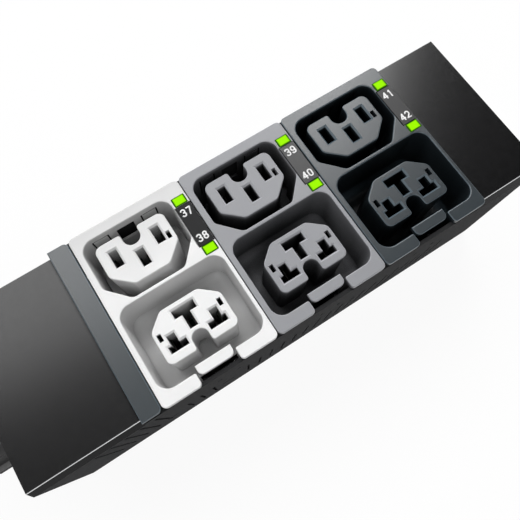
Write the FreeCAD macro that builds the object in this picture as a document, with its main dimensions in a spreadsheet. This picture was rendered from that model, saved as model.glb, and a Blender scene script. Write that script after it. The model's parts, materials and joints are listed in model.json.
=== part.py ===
"""Rack power distribution unit: a steel channel with three two-outlet modules.

The unit lies on its back. +X runs along the unit towards the plain end, +Y towards the
upper outlets and +Z out of the outlet faces. The origin is under the middle of the unit,
on the plane of its back.

Each module is drawn in a frame of its own: x from its left edge, y from its lower edge
and z from its face, so depths into the unit are negative.
"""
import FreeCAD, Part
import os
from types import SimpleNamespace

import Sketcher
from FreeCAD import Placement, Rotation, Vector

doc = FreeCAD.newDocument("rack_power_unit")

# Driving sizes in millimetres

SIZES = {
    # layout along the unit
    "left_blank": 34.4, "strip_wide": 6.5, "right_blank": 23.3, "module_gap": 0.3, "cover_gap": 0.15,
    # cross-section of the unit
    "unit_deep": 58.6, "side_reveal": 0.125, "sheet_thick": 1.2, "bend_round": 1.5, "flange_thick": 2.0,
    "edge_round": 0.35,
    # blank covers
    "cover_drop": 2.0, "cover_inset": 1.46, "cover_bevel": 3.4, "cover_thick": 1.8,
    "lug_deep": 4.0, "lug_thick": 1.2, "lug_play": 0.15,
    # vent slits, measured from the face down and from the first module along
    "slit_wide": 0.9, "slit_pitch": 4.75,
    "long_slit_first": -23.2, "long_slit_top": 7.0, "long_slit_end": 40.0, "long_slit_count": 5,
    "vent_first": 4.0, "vent_top": 26.5, "vent_end": 45.0, "vent_count": 3,
    "vent_again": 27.1, "vent_again_count": 18,
    "bar_slot_long": 4.5, "bar_slot_tall": 1.1, "bar_slot_a": -3.2, "bar_slot_b": 19.0,
    "bar_slot_deep": 36.0, "peep_hole_r": 0.8, "peep_hole_a": 16.8, "peep_hole_b": 23.6,
    "peep_hole_deep": 16.2,
    # module front: the two wells and the walls around them
    "corner_round": 1.6, "well_deep": 20.0, "well_wall": 0.7, "well_bar": 1.1,
    "up_side": 2.2, "up_rim": 3.45, "up_cut_x": 6.2, "up_cut_y": 6.8, "up_round": 4.0, "up_cut_round": 2.5,
    "low_side": 1.9, "low_far_side": 1.3, "low_rim": 3.95, "low_round": 4.0,
    "tube_edge": 1.3, "tube_side": 0.9, "tube_far_side": 0.6,
    "boss_in": 3.05, "boss_up": 3.4, "boss_r": 2.0, "screw_hole_r": 1.25, "boss_hole_deep": 10.0,
    # number plate and status windows
    "plate_rim": 0.1, "plate_wide": 5.65, "plate_up": 2.5, "plate_tall": 14.6, "plate_thick": 0.8,
    "led_in": 0.65, "led_far_in": 0.8, "led_gap": 0.12, "led_tall": 2.9, "led_play": 0.04, "pipe_inset": 0.6,
    # flexing lock tabs and windows moulded in the upper well
    "tab_off": 8.3, "tab_wide": 5.6, "tab_slit": 0.5, "tab_top": 2.6, "tab_end": 12.0,
    "lock_win_wide": 5.9, "lock_win_top": 3.3, "lock_win_end": 12.0,
    "side_win_up": 0.35, "side_win_tall": 4.2, "side_win_top": 14.0,
    # upper core and its slots, from the well's lower wall upwards
    "upc_gap_side": 3.15, "upc_wide": 23.0, "upc_gap_far": 3.4, "upc_gap_low": 3.3, "upc_rim": 3.2,
    "slot_wide": 2.7, "slot_tall": 5.5, "upc_web": 2.0, "upc_notch_deep": 4.8, "upc_gap_high": 3.15,
    "upc_cut_x": 5.8, "upc_cut_y": 5.2, "upc_round": 2.2, "upc_notch_wide": 5.5, "lip_round": 0.9,
    "blade_half": 7.0, "blade_up": 3.75, "key_off": 9.05, "key_up": 0.65, "key_wide": 1.3, "key_tall": 2.5,
    "key_deep": 6.0,
    # lower core and its slots, from the well's lower wall upwards
    "loc_gap_side": 5.45, "loc_wide": 22.85, "loc_gap_low": 5.1, "loc_notch_deep": 4.95, "loc_web": 1.2,
    "tee_stem_tall": 4.6, "tee_bar_tall": 2.6, "loc_rim": 1.75, "loc_gap_high": 6.35,
    "loc_cut_x": 5.2, "loc_cut_y": 4.4, "loc_round": 2.0, "loc_cut_round": 2.6, "loc_notch_wide": 5.1,
    "notch_flat": 0.12, "tee_bar_half": 3.6, "tee_stem_half": 1.3,
    "foot_up": 2.8, "foot_tall": 2.15, "foot_half": 2.9, "foot_off": 6.45,
    "stem_tall": 3.0, "stem_half": 1.3, "stem_off": 6.95,
    "pip_in": 1.0, "pip_up": 2.2, "pip_wide": 1.3, "pip_tall": 2.4,
    "slot_bevel": 0.5, "block_thick": 3.0, "block_edge_x": 1.2, "block_edge_y": 1.7,
    # release latch
    "latch_gap_wide": 12.75, "gap_round": 1.2, "gap_lip_round": 0.5,
    "latch_side": 0.67, "latch_up": 2.4, "latch_tall": 3.25, "latch_thick": 1.5,
    "latch_round": 1.7, "arm_up": 0.4, "arm_thick": 1.1, "arm_side": 0.9, "pivot_deep": 16.5,
    "knuckle_r": 1.25, "knuckle_play": 0.275, "pin_r": 0.75, "pin_play": 0.06, "pin_reach": 1.5,
    "leaf_wide": 5.0, "leaf_thick": 0.3, "leaf_top": 7.0, "leaf_end": 14.8, "leaf_tip": 0.6,
    # contact clips
    "clip_leaf": 0.4, "clip_top": 8.0, "clip_play": 0.08, "clip_base": 1.0, "clip_throat": 0.12,
    "clip_lip": 2.5, "tail_half": 0.6,
    # outlet board, relays and bus bars
    "board_deep": 28.0, "board_thick": 1.6, "board_edge": 1.0, "board_gap": 2.925,
    "relay_long": 20.0, "relay_wide": 10.0, "relay_tall": 15.0, "relay_x": 6.8, "relay_up": 3.1,
    "emitter_half": 1.2, "emitter_tall": 1.4,
    "bus_thick": 1.2, "bus_tall": 8.0, "bus_deep": 37.0, "bus_step": 5.0, "bus_tab": 4.0, "bus_end": 3.0,
    "standoff_r": 2.6, "standoff_gap": 5.125, "standoff_in": 3.8, "standoff_end": 7.0,
    "board_screw_r": 1.2, "board_head_r": 2.1, "board_head_tall": 1.8, "board_screw_long": 7.0,
    "board_pilot": 7.0,
    # power entry
    "block_x": 12.0, "terminal_long": 18.0, "terminal_half": 15.0, "terminal_tall": 24.0,
    "terminal_step": 6.0, "terminal_drop": 7.0,
    "wire_hole_r": 2.6, "wire_hole_deep": 9.0, "clamp_r": 2.0, "clamp_long": 8.0, "clamp_sink": 1.0,
    "clamp_play": 0.05, "terminal_slot": 8.0, "stud_x": 8.0, "stud_gap": 5.925, "stud_r": 2.0,
    "stud_long": 14.0, "stud_nut_r": 4.0, "stud_nut_tall": 3.2, "stud_nut_up": 4.0,
    # end plates and the screws in the back
    "end_thick": 1.5, "end_play": 0.15, "foot_long": 8.0, "end_bend": 1.0, "end_screw_r": 1.5,
    "end_head_r": 2.6, "end_screw_long": 3.4, "end_screw_x": 5.5, "end_screw_gap": 10.425,
    "terminal_screw_long": 7.0, "screw_play": 0.05,
    # cable gland
    "gland_z": 28.0, "gland_r": 12.5, "gland_hex_r": 16.6, "gland_hex_long": 6.0,
    "gland_neck_r": 12.0, "gland_neck_long": 8.0, "gland_stub": 9.0, "gland_bore_r": 9.0,
    "gland_nut_long": 5.0, "gland_reach": 22.0, "dome_r": 14.5, "dome_mouth_r": 8.2,
    "dome_lip": 2.5, "dome_taper": 4.5, "flute_r": 2.4, "flute_deep": 0.9, "flute_in": 1.2, "flute_count": 12,
    "seal_hole_r": 6.0, "seal_long": 10.0,
    # rear mounting nuts, two rack units apart
    "mount_pitch": 88.9, "mount_r": 2.5, "mount_collar_r": 3.6, "mount_nut_r": 5.0,
    "mount_nut_tall": 5.0,
}

sheet = doc.addObject("Spreadsheet::Sheet", "Sizes")
for row, (name, value) in enumerate(SIZES.items(), start=1):
    sheet.set("A%d" % row, name)
    sheet.set("B%d" % row, str(value))
    sheet.setAlias("B%d" % row, name)
doc.recompute()


class Dim:
    """A length that carries its present value and the sheet expression behind it."""

    def __init__(self, value, text):
        self.value, self.text = value, text

    @staticmethod
    def of(other):
        return other if isinstance(other, Dim) else Dim(float(other), "%.6g" % other)

    def join(self, other, sign, value):
        return Dim(value, "(%s %s %s)" % (self.text, sign, Dim.of(other).text))

    def __add__(self, other):
        return self.join(other, "+", self.value + Dim.of(other).value)

    def __sub__(self, other):
        return self.join(other, "-", self.value - Dim.of(other).value)

    def __mul__(self, other):
        return self.join(other, "*", self.value * Dim.of(other).value)

    def __truediv__(self, other):
        return self.join(other, "/", self.value / Dim.of(other).value)

    def __rsub__(self, other):
        return Dim.of(other) - self

    def __neg__(self):
        return Dim(-self.value, "(-%s)" % self.text)

    __radd__, __rmul__ = __add__, __mul__


s = SimpleNamespace(**{name: Dim(value, "Sizes." + name) for name, value in SIZES.items()})
ZERO = Dim.of(0)
nodes = []


# Small helpers: every size goes through bind, so it follows the sheet

def bind(obj, prop, dim):
    obj.setExpression(prop, Dim.of(dim).text)


def place(obj, x, y, z):
    for axis, dim in zip("xyz", (x, y, z)):
        bind(obj, "Placement.Base." + axis, dim)
    return obj


def keep(obj, label):
    obj.Label = label
    nodes.append(obj)
    return obj


def new_body(label, node=True):
    body = doc.addObject("PartDesign::Body", label)
    return keep(body, label) if node else body


def copy_body(source, label, node=True):
    body = new_body(label, node)
    base = doc.addObject("PartDesign::FeatureBase", label + "_base")
    base.BaseFeature = source
    body.Group = [base]
    body.Tip = base
    return body


def copy_at(source, x, y, z):
    """Copy of a drawn piece that will share a node with its equals."""
    return place(copy_body(source, source.Label + "_copy", node=False), x, y, z)


def new_sketch(body, role, offset):
    """Sketch on one of the body's own planes; offset is measured along the plane's normal."""
    sketch = body.newObject("Sketcher::SketchObject", "Sketch")
    support = next(f for f in body.Origin.OriginFeatures if f.Role == role)
    sketch.AttachmentSupport = [(support, "")]
    sketch.MapMode = "FlatFace"
    bind(sketch, "AttachmentOffset.Base.z", offset)
    return sketch


def pin_point(sketch, geo, pos, x, y):
    for kind, dim in (("DistanceX", Dim.of(x)), ("DistanceY", Dim.of(y))):
        index = sketch.addConstraint(Sketcher.Constraint(kind, -1, 1, geo, pos, dim.value))
        sketch.setExpression("Constraints[%d]" % index, dim.text)


def polygon(sketch, points):
    points = [(Dim.of(x), Dim.of(y)) for x, y in points]
    first = sketch.GeometryCount
    for (xa, ya), (xb, yb) in zip(points, points[1:] + points[:1]):
        sketch.addGeometry(Part.LineSegment(Vector(xa.value, ya.value, 0),
                                            Vector(xb.value, yb.value, 0)), False)
    for i, (x, y) in enumerate(points):
        after = first + (i + 1) % len(points)
        sketch.addConstraint(Sketcher.Constraint("Coincident", first + i, 2, after, 1))
        pin_point(sketch, first + i, 1, x, y)


def rect(sketch, x0, y0, x1, y1):
    polygon(sketch, [(x0, y0), (x1, y0), (x1, y1), (x0, y1)])


def circle(sketch, x, y, r):
    x, y, r = Dim.of(x), Dim.of(y), Dim.of(r)
    geo = sketch.addGeometry(Part.Circle(Vector(x.value, y.value, 0), Vector(0, 0, 1), r.value), False)
    pin_point(sketch, geo, 3, x, y)
    index = sketch.addConstraint(Sketcher.Constraint("Radius", geo, r.value))
    sketch.setExpression("Constraints[%d]" % index, r.text)


def feature(body, kind, sketch, length, reverse=False, both=False):
    """Pad or Pocket; a pocket that removes nothing is an error."""
    doc.recompute()
    before = body.Shape.Volume if body.Tip and not body.Shape.isNull() else 0.0
    feat = body.newObject("PartDesign::" + kind, kind)
    feat.Profile = sketch
    bind(feat, "Length", length)
    feat.Reversed = reverse
    if both:
        feat.SideType = "Symmetric"
    doc.recompute()
    if kind == "Pocket" and feat.Shape.Volume > before - 1e-3:
        raise RuntimeError("pocket cuts nothing in " + body.Label)
    return feat


def pad(body, role, offset, length, draw, **kw):
    sketch = new_sketch(body, role, offset)
    draw(sketch)
    return feature(body, "Pad", sketch, length, **kw)


def pocket(body, role, offset, length, draw, **kw):
    sketch = new_sketch(body, role, offset)
    draw(sketch)
    return feature(body, "Pocket", sketch, length, **kw)


def dress(body, kind, amount, test):
    """Fillet or Chamfer on the edges of the present shape that pass the test."""
    doc.recompute()
    tip = body.Tip
    names = ["Edge%d" % i for i, edge in enumerate(tip.Shape.Edges, start=1) if test(edge)]
    if not names:
        raise RuntimeError("no edge to dress in " + body.Label)
    feat = body.newObject("PartDesign::" + kind, kind)
    feat.Base = (tip, names)
    bind(feat, "Radius" if kind == "Fillet" else "Size", amount)
    doc.recompute()
    return feat


def along(axis, *points):
    """Edges parallel to an axis through one of the points, given by their other two coordinates."""
    others = "xyz".replace(axis, "")
    spots = [[Dim.of(value).value for value in point] for point in points]

    def test(edge):
        a, b = edge.Vertexes[0].Point, edge.Vertexes[-1].Point
        if abs(getattr(a, axis) - getattr(b, axis)) < 1e-3:
            return False
        if any(abs(getattr(a, n) - getattr(b, n)) > 1e-6 for n in others):
            return False
        return any(sum(abs(getattr(a, n) - v) for n, v in zip(others, spot)) < 1e-4 for spot in spots)
    return test


def on_level(z):
    """Edges that lie wholly in the plane at height z."""
    level = Dim.of(z).value

    def test(edge):
        box = edge.BoundBox
        return abs(box.ZMin - level) < 1e-5 and abs(box.ZMax - level) < 1e-5
    return test


def box(x0, x1, y0, y1, z0, z1):
    solid = doc.addObject("Part::Box", "Box")
    for prop, dim in (("Length", x1 - x0), ("Width", y1 - y0), ("Height", z1 - z0)):
        bind(solid, prop, dim)
    return place(solid, x0, y0, z0)


TURN = {"x": Rotation(Vector(0, 1, 0), 90), "z": Rotation()}


def rod(axis, x, y, z, r, long):
    solid = doc.addObject("Part::Cylinder", "Rod")
    bind(solid, "Radius", r)
    bind(solid, "Height", long)
    solid.Placement = Placement(Vector(), TURN[axis])
    return place(solid, x, y, z)


def hexagon(axis, x, y, z, r, long):
    solid = doc.addObject("Part::Prism", "Hexagon")
    solid.Polygon = 6
    bind(solid, "Circumradius", r)
    bind(solid, "Height", long)
    solid.Placement = Placement(Vector(), TURN[axis])
    return place(solid, x, y, z)


def fuse(*solids):
    joined = doc.addObject("Part::MultiFuse", "Joined")
    joined.Shapes = list(solids)
    return joined


def cut(base, *tools):
    result = doc.addObject("Part::Cut", "Cut")
    result.Base = base
    result.Tool = tools[0] if len(tools) == 1 else fuse(*tools)
    return result


def group(label, solids):
    """Several equal pieces that share one node."""
    together = doc.addObject("Part::Compound", label)
    together.Links = list(solids)
    return keep(together, label)


# Outlet layout: heights from the module's lower edge, then widths from its left edge

low_low = s.low_rim
loc_low = low_low + s.loc_gap_low
loc_notch_high = loc_low + s.loc_notch_deep
tee_stem_low = loc_notch_high + s.loc_web
tee_bar_low = tee_stem_low + s.tee_stem_tall
tee_bar_high = tee_bar_low + s.tee_bar_tall
loc_high = tee_bar_high + s.loc_rim
low_high = loc_high + s.loc_gap_high
up_low = low_high + s.well_bar
upc_low = up_low + s.upc_gap_low
earth_y = upc_low + s.upc_rim + s.slot_tall / 2
upc_notch_low = earth_y + s.slot_tall / 2 + s.upc_web
upc_high = upc_notch_low + s.upc_notch_deep
up_high = upc_high + s.upc_gap_high
module_wide = up_high + s.up_rim
foot_low = loc_low + s.foot_up
foot_high = foot_low + s.foot_tall
stem_high = foot_high + s.stem_tall
plate_low = up_low + s.plate_up
plate_high = plate_low + s.plate_tall

upc_left = s.up_side + s.upc_gap_side
upc_right = upc_left + s.upc_wide
up_right = upc_right + s.upc_gap_far
plate_left = up_right + s.plate_rim
module_pitch = plate_left + s.plate_wide
low_right = module_pitch - s.low_far_side
loc_left = s.low_side + s.loc_gap_side
loc_right = loc_left + s.loc_wide
upc_mid = (upc_left + upc_right) / 2
loc_mid = (loc_left + loc_right) / 2

# Reference planes of the whole unit

unit_long = s.left_blank + s.strip_wide + 3 * module_pitch + s.right_blank
left_end = (s.gland_reach - unit_long) / 2
right_end = left_end + unit_long
modules = left_end + s.left_blank + s.strip_wide
modules_end = modules + 3 * module_pitch
face = s.unit_deep
half_out = module_wide / 2 + s.side_reveal
half_in = half_out - s.sheet_thick
base_y = -module_wide / 2
wall_low = face - s.cover_drop - s.cover_bevel
board_top = face - s.board_deep
board_low = board_top - s.board_thick
MODULE_NAMES = ("white", "grey", "slate")


def module_x(i):
    return modules + i * module_pitch


# Chassis: a channel with lower side walls under the blank covers, vent slits and screw holes

chassis = new_body("chassis_channel")
wall_top = face - s.flange_thick
pad(chassis, "YZ_Plane", left_end, unit_long, lambda k: polygon(k, [
    (-half_out, 0), (half_out, 0), (half_out, wall_top), (half_in, wall_top), (half_in, s.sheet_thick),
    (-half_in, s.sheet_thick), (-half_in, wall_top), (-half_out, wall_top)]))
dress(chassis, "Fillet", s.bend_round, lambda e: abs(e.BoundBox.ZMax) < 1e-6 and e.Length > 100)


def lowered_walls(k):
    rect(k, left_end - 1, wall_low, modules - s.strip_wide, face)
    rect(k, modules_end, wall_low, right_end + 1, face)


pocket(chassis, "XZ_Plane", 0, 4 * half_out, lowered_walls, both=True)


def slit_row(first, top, end, count):
    x = modules + first - s.slit_wide / 2
    row = pocket(chassis, "XZ_Plane", 0, 4 * half_out,
                 lambda k: rect(k, x, face - end, x + s.slit_wide, face - top), both=True)
    pattern = chassis.newObject("PartDesign::LinearPattern", "Slits")
    pattern.Originals = [row]
    pattern.Direction = (next(f for f in chassis.Origin.OriginFeatures if f.Role == "X_Axis"), [""])
    bind(pattern, "Occurrences", count)
    bind(pattern, "Length", s.slit_pitch * (count - 1))
    chassis.Tip = pattern
    doc.recompute()


slit_row(s.long_slit_first, s.long_slit_top, s.long_slit_end, s.long_slit_count)
slit_row(s.vent_first, s.vent_top, s.vent_end, s.vent_count)
slit_row(s.vent_again, s.vent_top, s.vent_end, s.vent_again_count)


def bar_slots(k):
    for x in (s.bar_slot_a, s.bar_slot_b):
        rect(k, modules + x - s.bar_slot_long / 2, face - s.bar_slot_deep - s.bar_slot_tall,
             modules + x + s.bar_slot_long / 2, face - s.bar_slot_deep)


def peep_holes(k):
    for i in range(3):
        for x in (s.peep_hole_a, s.peep_hole_b):
            circle(k, module_x(i) + x, face - s.peep_hole_deep, s.peep_hole_r)


pocket(chassis, "XZ_Plane", 0, 4 * half_out, bar_slots, both=True)
pocket(chassis, "XZ_Plane", half_out - 2 * s.sheet_thick, 4 * s.sheet_thick, peep_holes, reverse=True)

end_screws = [(x, y) for x in (left_end + s.end_screw_x, right_end - s.end_screw_x)
              for y in (s.end_screw_gap - half_in, half_in - s.end_screw_gap)]
terminal_mid = left_end + s.block_x + s.terminal_long / 2
terminal_screws = [(terminal_mid, -s.terminal_half / 2), (terminal_mid, s.terminal_half / 2)]
standoff_x = [module_x(i) + s.standoff_in for i in range(3)] + [modules_end - s.standoff_end]
standoff_y = half_in - s.standoff_gap
standoffs = [(x, y) for x in standoff_x for y in (-standoff_y, standoff_y)]
unit_mid = (left_end + right_end) / 2
mount_nuts = [(unit_mid - s.mount_pitch / 2, ZERO), (unit_mid + s.mount_pitch / 2, ZERO)]
stud = (modules - s.stud_x, half_in - s.stud_gap)


def back_holes(k):
    for x, y in end_screws + terminal_screws:
        circle(k, x, y, s.end_head_r + s.screw_play)
    for x, y in standoffs:
        circle(k, x, y, s.standoff_r)
    for x, y in mount_nuts:
        circle(k, x, y, s.mount_collar_r)
    circle(k, *stud, s.stud_r)


pocket(chassis, "XY_Plane", 2 * s.sheet_thick, 4 * s.sheet_thick, back_holes)

# Blank covers: lids with bevelled edges and lugs that drop inside the walls


def blank_cover(label, x0, x1):
    cover = new_body(label)
    top = face - s.cover_drop
    lug_out = half_in - s.lug_play
    lug_in = lug_out - s.lug_thick
    lug_low = wall_low - s.lug_deep
    under = top - s.cover_thick
    right = [(half_out - s.cover_inset, top), (half_out, wall_low), (lug_out, wall_low),
             (lug_out, lug_low), (lug_in, lug_low), (lug_in, under)]
    left = [(-y, z) for y, z in reversed(right)]
    pad(cover, "YZ_Plane", x0, x1 - x0, lambda k: polygon(k, right + left))
    dress(cover, "Fillet", s.edge_round, lambda e: on_level(top)(e) and abs(e.BoundBox.YLength) < 1e-6)


blank_cover("left_cover", left_end, modules - s.strip_wide - s.cover_gap)
blank_cover("right_cover", modules_end + s.cover_gap, right_end)

# Spacer strip between the left cover and the first module

strip = new_body("spacer_strip")
strip_x0, strip_x1 = modules - s.strip_wide, modules - s.module_gap / 2
strip_y = module_wide / 2 - s.lug_play
pad(strip, "XY_Plane", wall_top, s.flange_thick, lambda k: rect(k, strip_x0, -strip_y, strip_x1, strip_y))
dress(strip, "Fillet", s.corner_round, along("z", (strip_x1, -strip_y), (strip_x1, strip_y)))
dress(strip, "Fillet", s.edge_round, on_level(face))
pad(strip, "XY_Plane", wall_top - s.lug_deep, s.lug_deep, lambda k: rect(
    k, strip_x0 + s.lug_thick, -half_in + s.lug_play, strip_x1 - s.lug_thick, half_in - s.lug_play))

# Module front: bezel with two plug wells, lock tabs, windows and the latch gap

well_end = -s.well_deep


def upper_outline(grow):
    x0, x1 = s.up_side - grow, up_right + grow
    y0, y1 = up_low - grow, up_high + grow
    return [(x0, y1), (x0, y0 + s.up_cut_y), (x0 + s.up_cut_x, y0), (x1 - s.up_cut_x, y0),
            (x1, y0 + s.up_cut_y), (x1, y1)]


front = new_body("module_front_white")
front_x0, front_x1 = s.module_gap / 2, module_pitch - s.module_gap / 2
pad(front, "XY_Plane", -s.flange_thick, s.flange_thick,
    lambda k: rect(k, front_x0, 0, front_x1, module_wide))
dress(front, "Fillet", s.corner_round, along(
    "z", (front_x0, 0), (front_x1, 0), (front_x0, module_wide), (front_x1, module_wide)))
tube_long = s.well_deep - s.flange_thick
pad(front, "XY_Plane", well_end, tube_long, lambda k: polygon(k, upper_outline(s.well_wall)))
pad(front, "XY_Plane", well_end, tube_long, lambda k: rect(
    k, s.low_side - s.tube_side, s.tube_edge, low_right + s.tube_far_side, low_high + s.well_wall))
boss_x = plate_left + s.boss_in
bosses = [(boss_x, plate_low + s.boss_up), (boss_x, plate_high - s.boss_up)]
pad(front, "XY_Plane", well_end, tube_long, lambda k: [circle(k, x, y, s.boss_r) for x, y in bosses])
lower_outline = [(s.low_side, low_low), (low_right, low_low), (low_right, low_high), (s.low_side, low_high)]
pocket(front, "XY_Plane", 0, s.well_deep,
       lambda k: (polygon(k, upper_outline(ZERO)), polygon(k, lower_outline)))
mouth = upper_outline(ZERO)
dress(front, "Fillet", s.up_round, along("z", mouth[0], mouth[5]))
dress(front, "Fillet", s.up_cut_round, along("z", *mouth[1:5]))
dress(front, "Fillet", s.low_round, along("z", *lower_outline))
gap_left, gap_right = loc_mid - s.latch_gap_wide / 2, loc_mid + s.latch_gap_wide / 2
pocket(front, "XY_Plane", 0, s.well_deep,
       lambda k: rect(k, gap_left, -s.tube_edge, gap_right, low_low + s.edge_round))
dress(front, "Fillet", s.gap_round, along("z", (gap_left, 0), (gap_right, 0)))
dress(front, "Fillet", s.gap_lip_round, along("z", (gap_left, low_low), (gap_right, low_low)))
dress(front, "Fillet", s.edge_round, on_level(0))
pocket(front, "XY_Plane", 0, s.plate_thick,
       lambda k: rect(k, plate_left, plate_low, module_pitch, plate_high))
led_left, led_right = plate_left + s.led_in, module_pitch - s.led_far_in
windows = [(plate_low - s.led_gap - s.led_tall, plate_low - s.led_gap),
           (plate_high + s.led_gap, plate_high + s.led_gap + s.led_tall)]
pocket(front, "XY_Plane", 0, s.flange_thick,
       lambda k: [rect(k, led_left, y0, led_right, y1) for y0, y1 in windows])
pocket(front, "XY_Plane", well_end, s.boss_hole_deep,
       lambda k: [circle(k, x, y, s.screw_hole_r) for x, y in bosses], reverse=True)


def lock_slits(k):
    for middle in (upc_mid - s.tab_off, upc_mid + s.tab_off):
        x, x_end = middle - s.tab_wide / 2, middle + s.tab_wide / 2
        polygon(k, [(x, -s.tab_end), (x, -s.tab_top), (x_end, -s.tab_top), (x_end, -s.tab_end),
                    (x_end - s.tab_slit, -s.tab_end), (x_end - s.tab_slit, -s.tab_top - s.tab_slit),
                    (x + s.tab_slit, -s.tab_top - s.tab_slit), (x + s.tab_slit, -s.tab_end)])
    rect(k, upc_mid - s.lock_win_wide / 2, -s.lock_win_end, upc_mid + s.lock_win_wide / 2, -s.lock_win_top)


side_win_low = earth_y + s.side_win_up
pocket(front, "XZ_Plane", s.well_wall / 2 - up_high, 2 * s.well_wall, lock_slits)
pocket(front, "YZ_Plane", up_right - s.well_wall / 2, 2 * s.well_wall, lambda k: rect(
    k, side_win_low, well_end, side_win_low + s.side_win_tall, -s.side_win_top), reverse=True)
pin_x0, pin_x1 = gap_left - s.pin_reach, gap_right + s.pin_reach
pivot_y = module_wide / 2 - half_in + s.knuckle_play + s.knuckle_r
pocket(front, "YZ_Plane", pin_x0, pin_x1 - pin_x0,
       lambda k: circle(k, pivot_y, -s.pivot_deep, s.pin_r), reverse=True)

# Contact block: the two cores with their blade slots on one plate behind the wells

block = new_body("contact_block_white")
block_low = well_end - s.block_thick
pad(block, "XY_Plane", block_low, s.block_thick, lambda k: rect(
    k, s.block_edge_x, s.block_edge_y, module_pitch - s.block_edge_x, module_wide - s.block_edge_y))
up_notch = [upc_mid - s.upc_notch_wide / 2, upc_mid + s.upc_notch_wide / 2]
low_notch = [loc_mid - s.loc_notch_wide / 2, loc_mid + s.loc_notch_wide / 2]
upper_core = [
    (upc_left, upc_high), (upc_left, upc_low + s.upc_cut_y), (upc_left + s.upc_cut_x, upc_low),
    (upc_right - s.upc_cut_x, upc_low), (upc_right, upc_low + s.upc_cut_y),
    (upc_right, upc_high), (up_notch[1], upc_high), (up_notch[1], upc_notch_low),
    (up_notch[0], upc_notch_low), (up_notch[0], upc_high)]
lower_core = [
    (loc_left, loc_low), (low_notch[0], loc_low), (low_notch[0], loc_notch_high),
    (low_notch[1], loc_notch_high), (low_notch[1], loc_low), (loc_right, loc_low),
    (loc_right, loc_high - s.loc_cut_y), (loc_right - s.loc_cut_x, loc_high),
    (loc_left + s.loc_cut_x, loc_high), (loc_left, loc_high - s.loc_cut_y)]
pad(block, "XY_Plane", well_end, s.well_deep,
    lambda k: (polygon(k, upper_core), polygon(k, lower_core)))
dress(block, "Fillet", s.upc_round, along("z", upper_core[0], *upper_core[1:5], upper_core[5]))
dress(block, "Fillet", s.upc_notch_wide / 2 - s.notch_flat, along("z", upper_core[7], upper_core[8]))
dress(block, "Fillet", s.loc_notch_wide / 2 - s.notch_flat, along("z", lower_core[2], lower_core[3]))
dress(block, "Fillet", s.lip_round, along(
    "z", upper_core[6], upper_core[9], lower_core[1], lower_core[4]))
dress(block, "Fillet", s.loc_round, along("z", lower_core[0], lower_core[5]))
dress(block, "Fillet", s.loc_cut_round, along("z", *lower_core[6:10]))
dress(block, "Fillet", s.edge_round, on_level(0))

blade_y = earth_y + s.blade_up
blade_spots = [(upc_mid - s.blade_half, blade_y), (upc_mid, earth_y), (upc_mid + s.blade_half, blade_y)]


def blade_slots(k):
    for x, y in blade_spots:
        rect(k, x - s.slot_wide / 2, y - s.slot_tall / 2, x + s.slot_wide / 2, y + s.slot_tall / 2)
    polygon(k, [
        (loc_mid - s.tee_bar_half, tee_bar_high), (loc_mid - s.tee_bar_half, tee_bar_low),
        (loc_mid - s.tee_stem_half, tee_bar_low), (loc_mid - s.tee_stem_half, tee_stem_low),
        (loc_mid + s.tee_stem_half, tee_stem_low), (loc_mid + s.tee_stem_half, tee_bar_low),
        (loc_mid + s.tee_bar_half, tee_bar_low), (loc_mid + s.tee_bar_half, tee_bar_high)])
    for side in (-1, 1):
        foot, stem = loc_mid + side * s.foot_off, loc_mid + side * s.stem_off
        polygon(k, [
            (foot - s.foot_half, foot_low), (foot + s.foot_half, foot_low),
            (foot + s.foot_half, foot_high), (stem + s.stem_half, foot_high),
            (stem + s.stem_half, stem_high), (stem - s.stem_half, stem_high),
            (stem - s.stem_half, foot_high), (foot - s.foot_half, foot_high)])


def key_holes(k):
    key_x, key_y, pip_low = upc_mid + s.key_off, earth_y + s.key_up, foot_high + s.pip_up
    rect(k, key_x, key_y, key_x + s.key_wide, key_y + s.key_tall)
    for x in (loc_left + s.pip_in, loc_right - s.pip_in - s.pip_wide):
        rect(k, x, pip_low, x + s.pip_wide, pip_low + s.pip_tall)


known = {round(e.CenterOfMass.x, 3) * 1000 + round(e.CenterOfMass.y, 3)
         for e in block.Shape.Edges if on_level(0)(e)}
pocket(block, "XY_Plane", 0, s.well_deep + s.block_thick, blade_slots)
dress(block, "Chamfer", s.slot_bevel, lambda e: on_level(0)(e) and
      round(e.CenterOfMass.x, 3) * 1000 + round(e.CenterOfMass.y, 3) not in known)
pocket(block, "XY_Plane", 0, s.key_deep, key_holes)


def block_openings(k):
    for y0, y1 in windows:
        rect(k, led_left, y0, led_right - s.pipe_inset / 2, y1)
    for x, y in bosses:
        circle(k, x, y, s.screw_hole_r)


pocket(block, "XY_Plane", well_end, s.block_thick, block_openings)

# Release latch: a thumb tab on a thin arm that swings about a pin near the well floor

latch = new_body("latch_white")
latch_left, latch_right = gap_left + s.latch_side, gap_right - s.latch_side
arm_x0, arm_x1 = latch_left + s.arm_side, latch_right - s.arm_side
arm_low = s.latch_up + s.arm_up
pad(latch, "XY_Plane", -s.latch_thick, s.latch_thick,
    lambda k: rect(k, latch_left, s.latch_up, latch_right, s.latch_up + s.latch_tall))
dress(latch, "Fillet", s.latch_round, along("z", (latch_left, s.latch_up), (latch_right, s.latch_up)))
dress(latch, "Fillet", s.edge_round, on_level(0))
pad(latch, "YZ_Plane", arm_x0, arm_x1 - arm_x0,
    lambda k: rect(k, arm_low, -s.pivot_deep, arm_low + s.arm_thick, -s.latch_thick))
pad(latch, "YZ_Plane", arm_x0, arm_x1 - arm_x0,
    lambda k: circle(k, pivot_y, -s.pivot_deep, s.knuckle_r))
pocket(latch, "YZ_Plane", arm_x0, arm_x1 - arm_x0,
       lambda k: circle(k, pivot_y, -s.pivot_deep, s.pin_r + s.pin_play), reverse=True)

# The three modules: the first set is drawn above, the others repeat it

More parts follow.
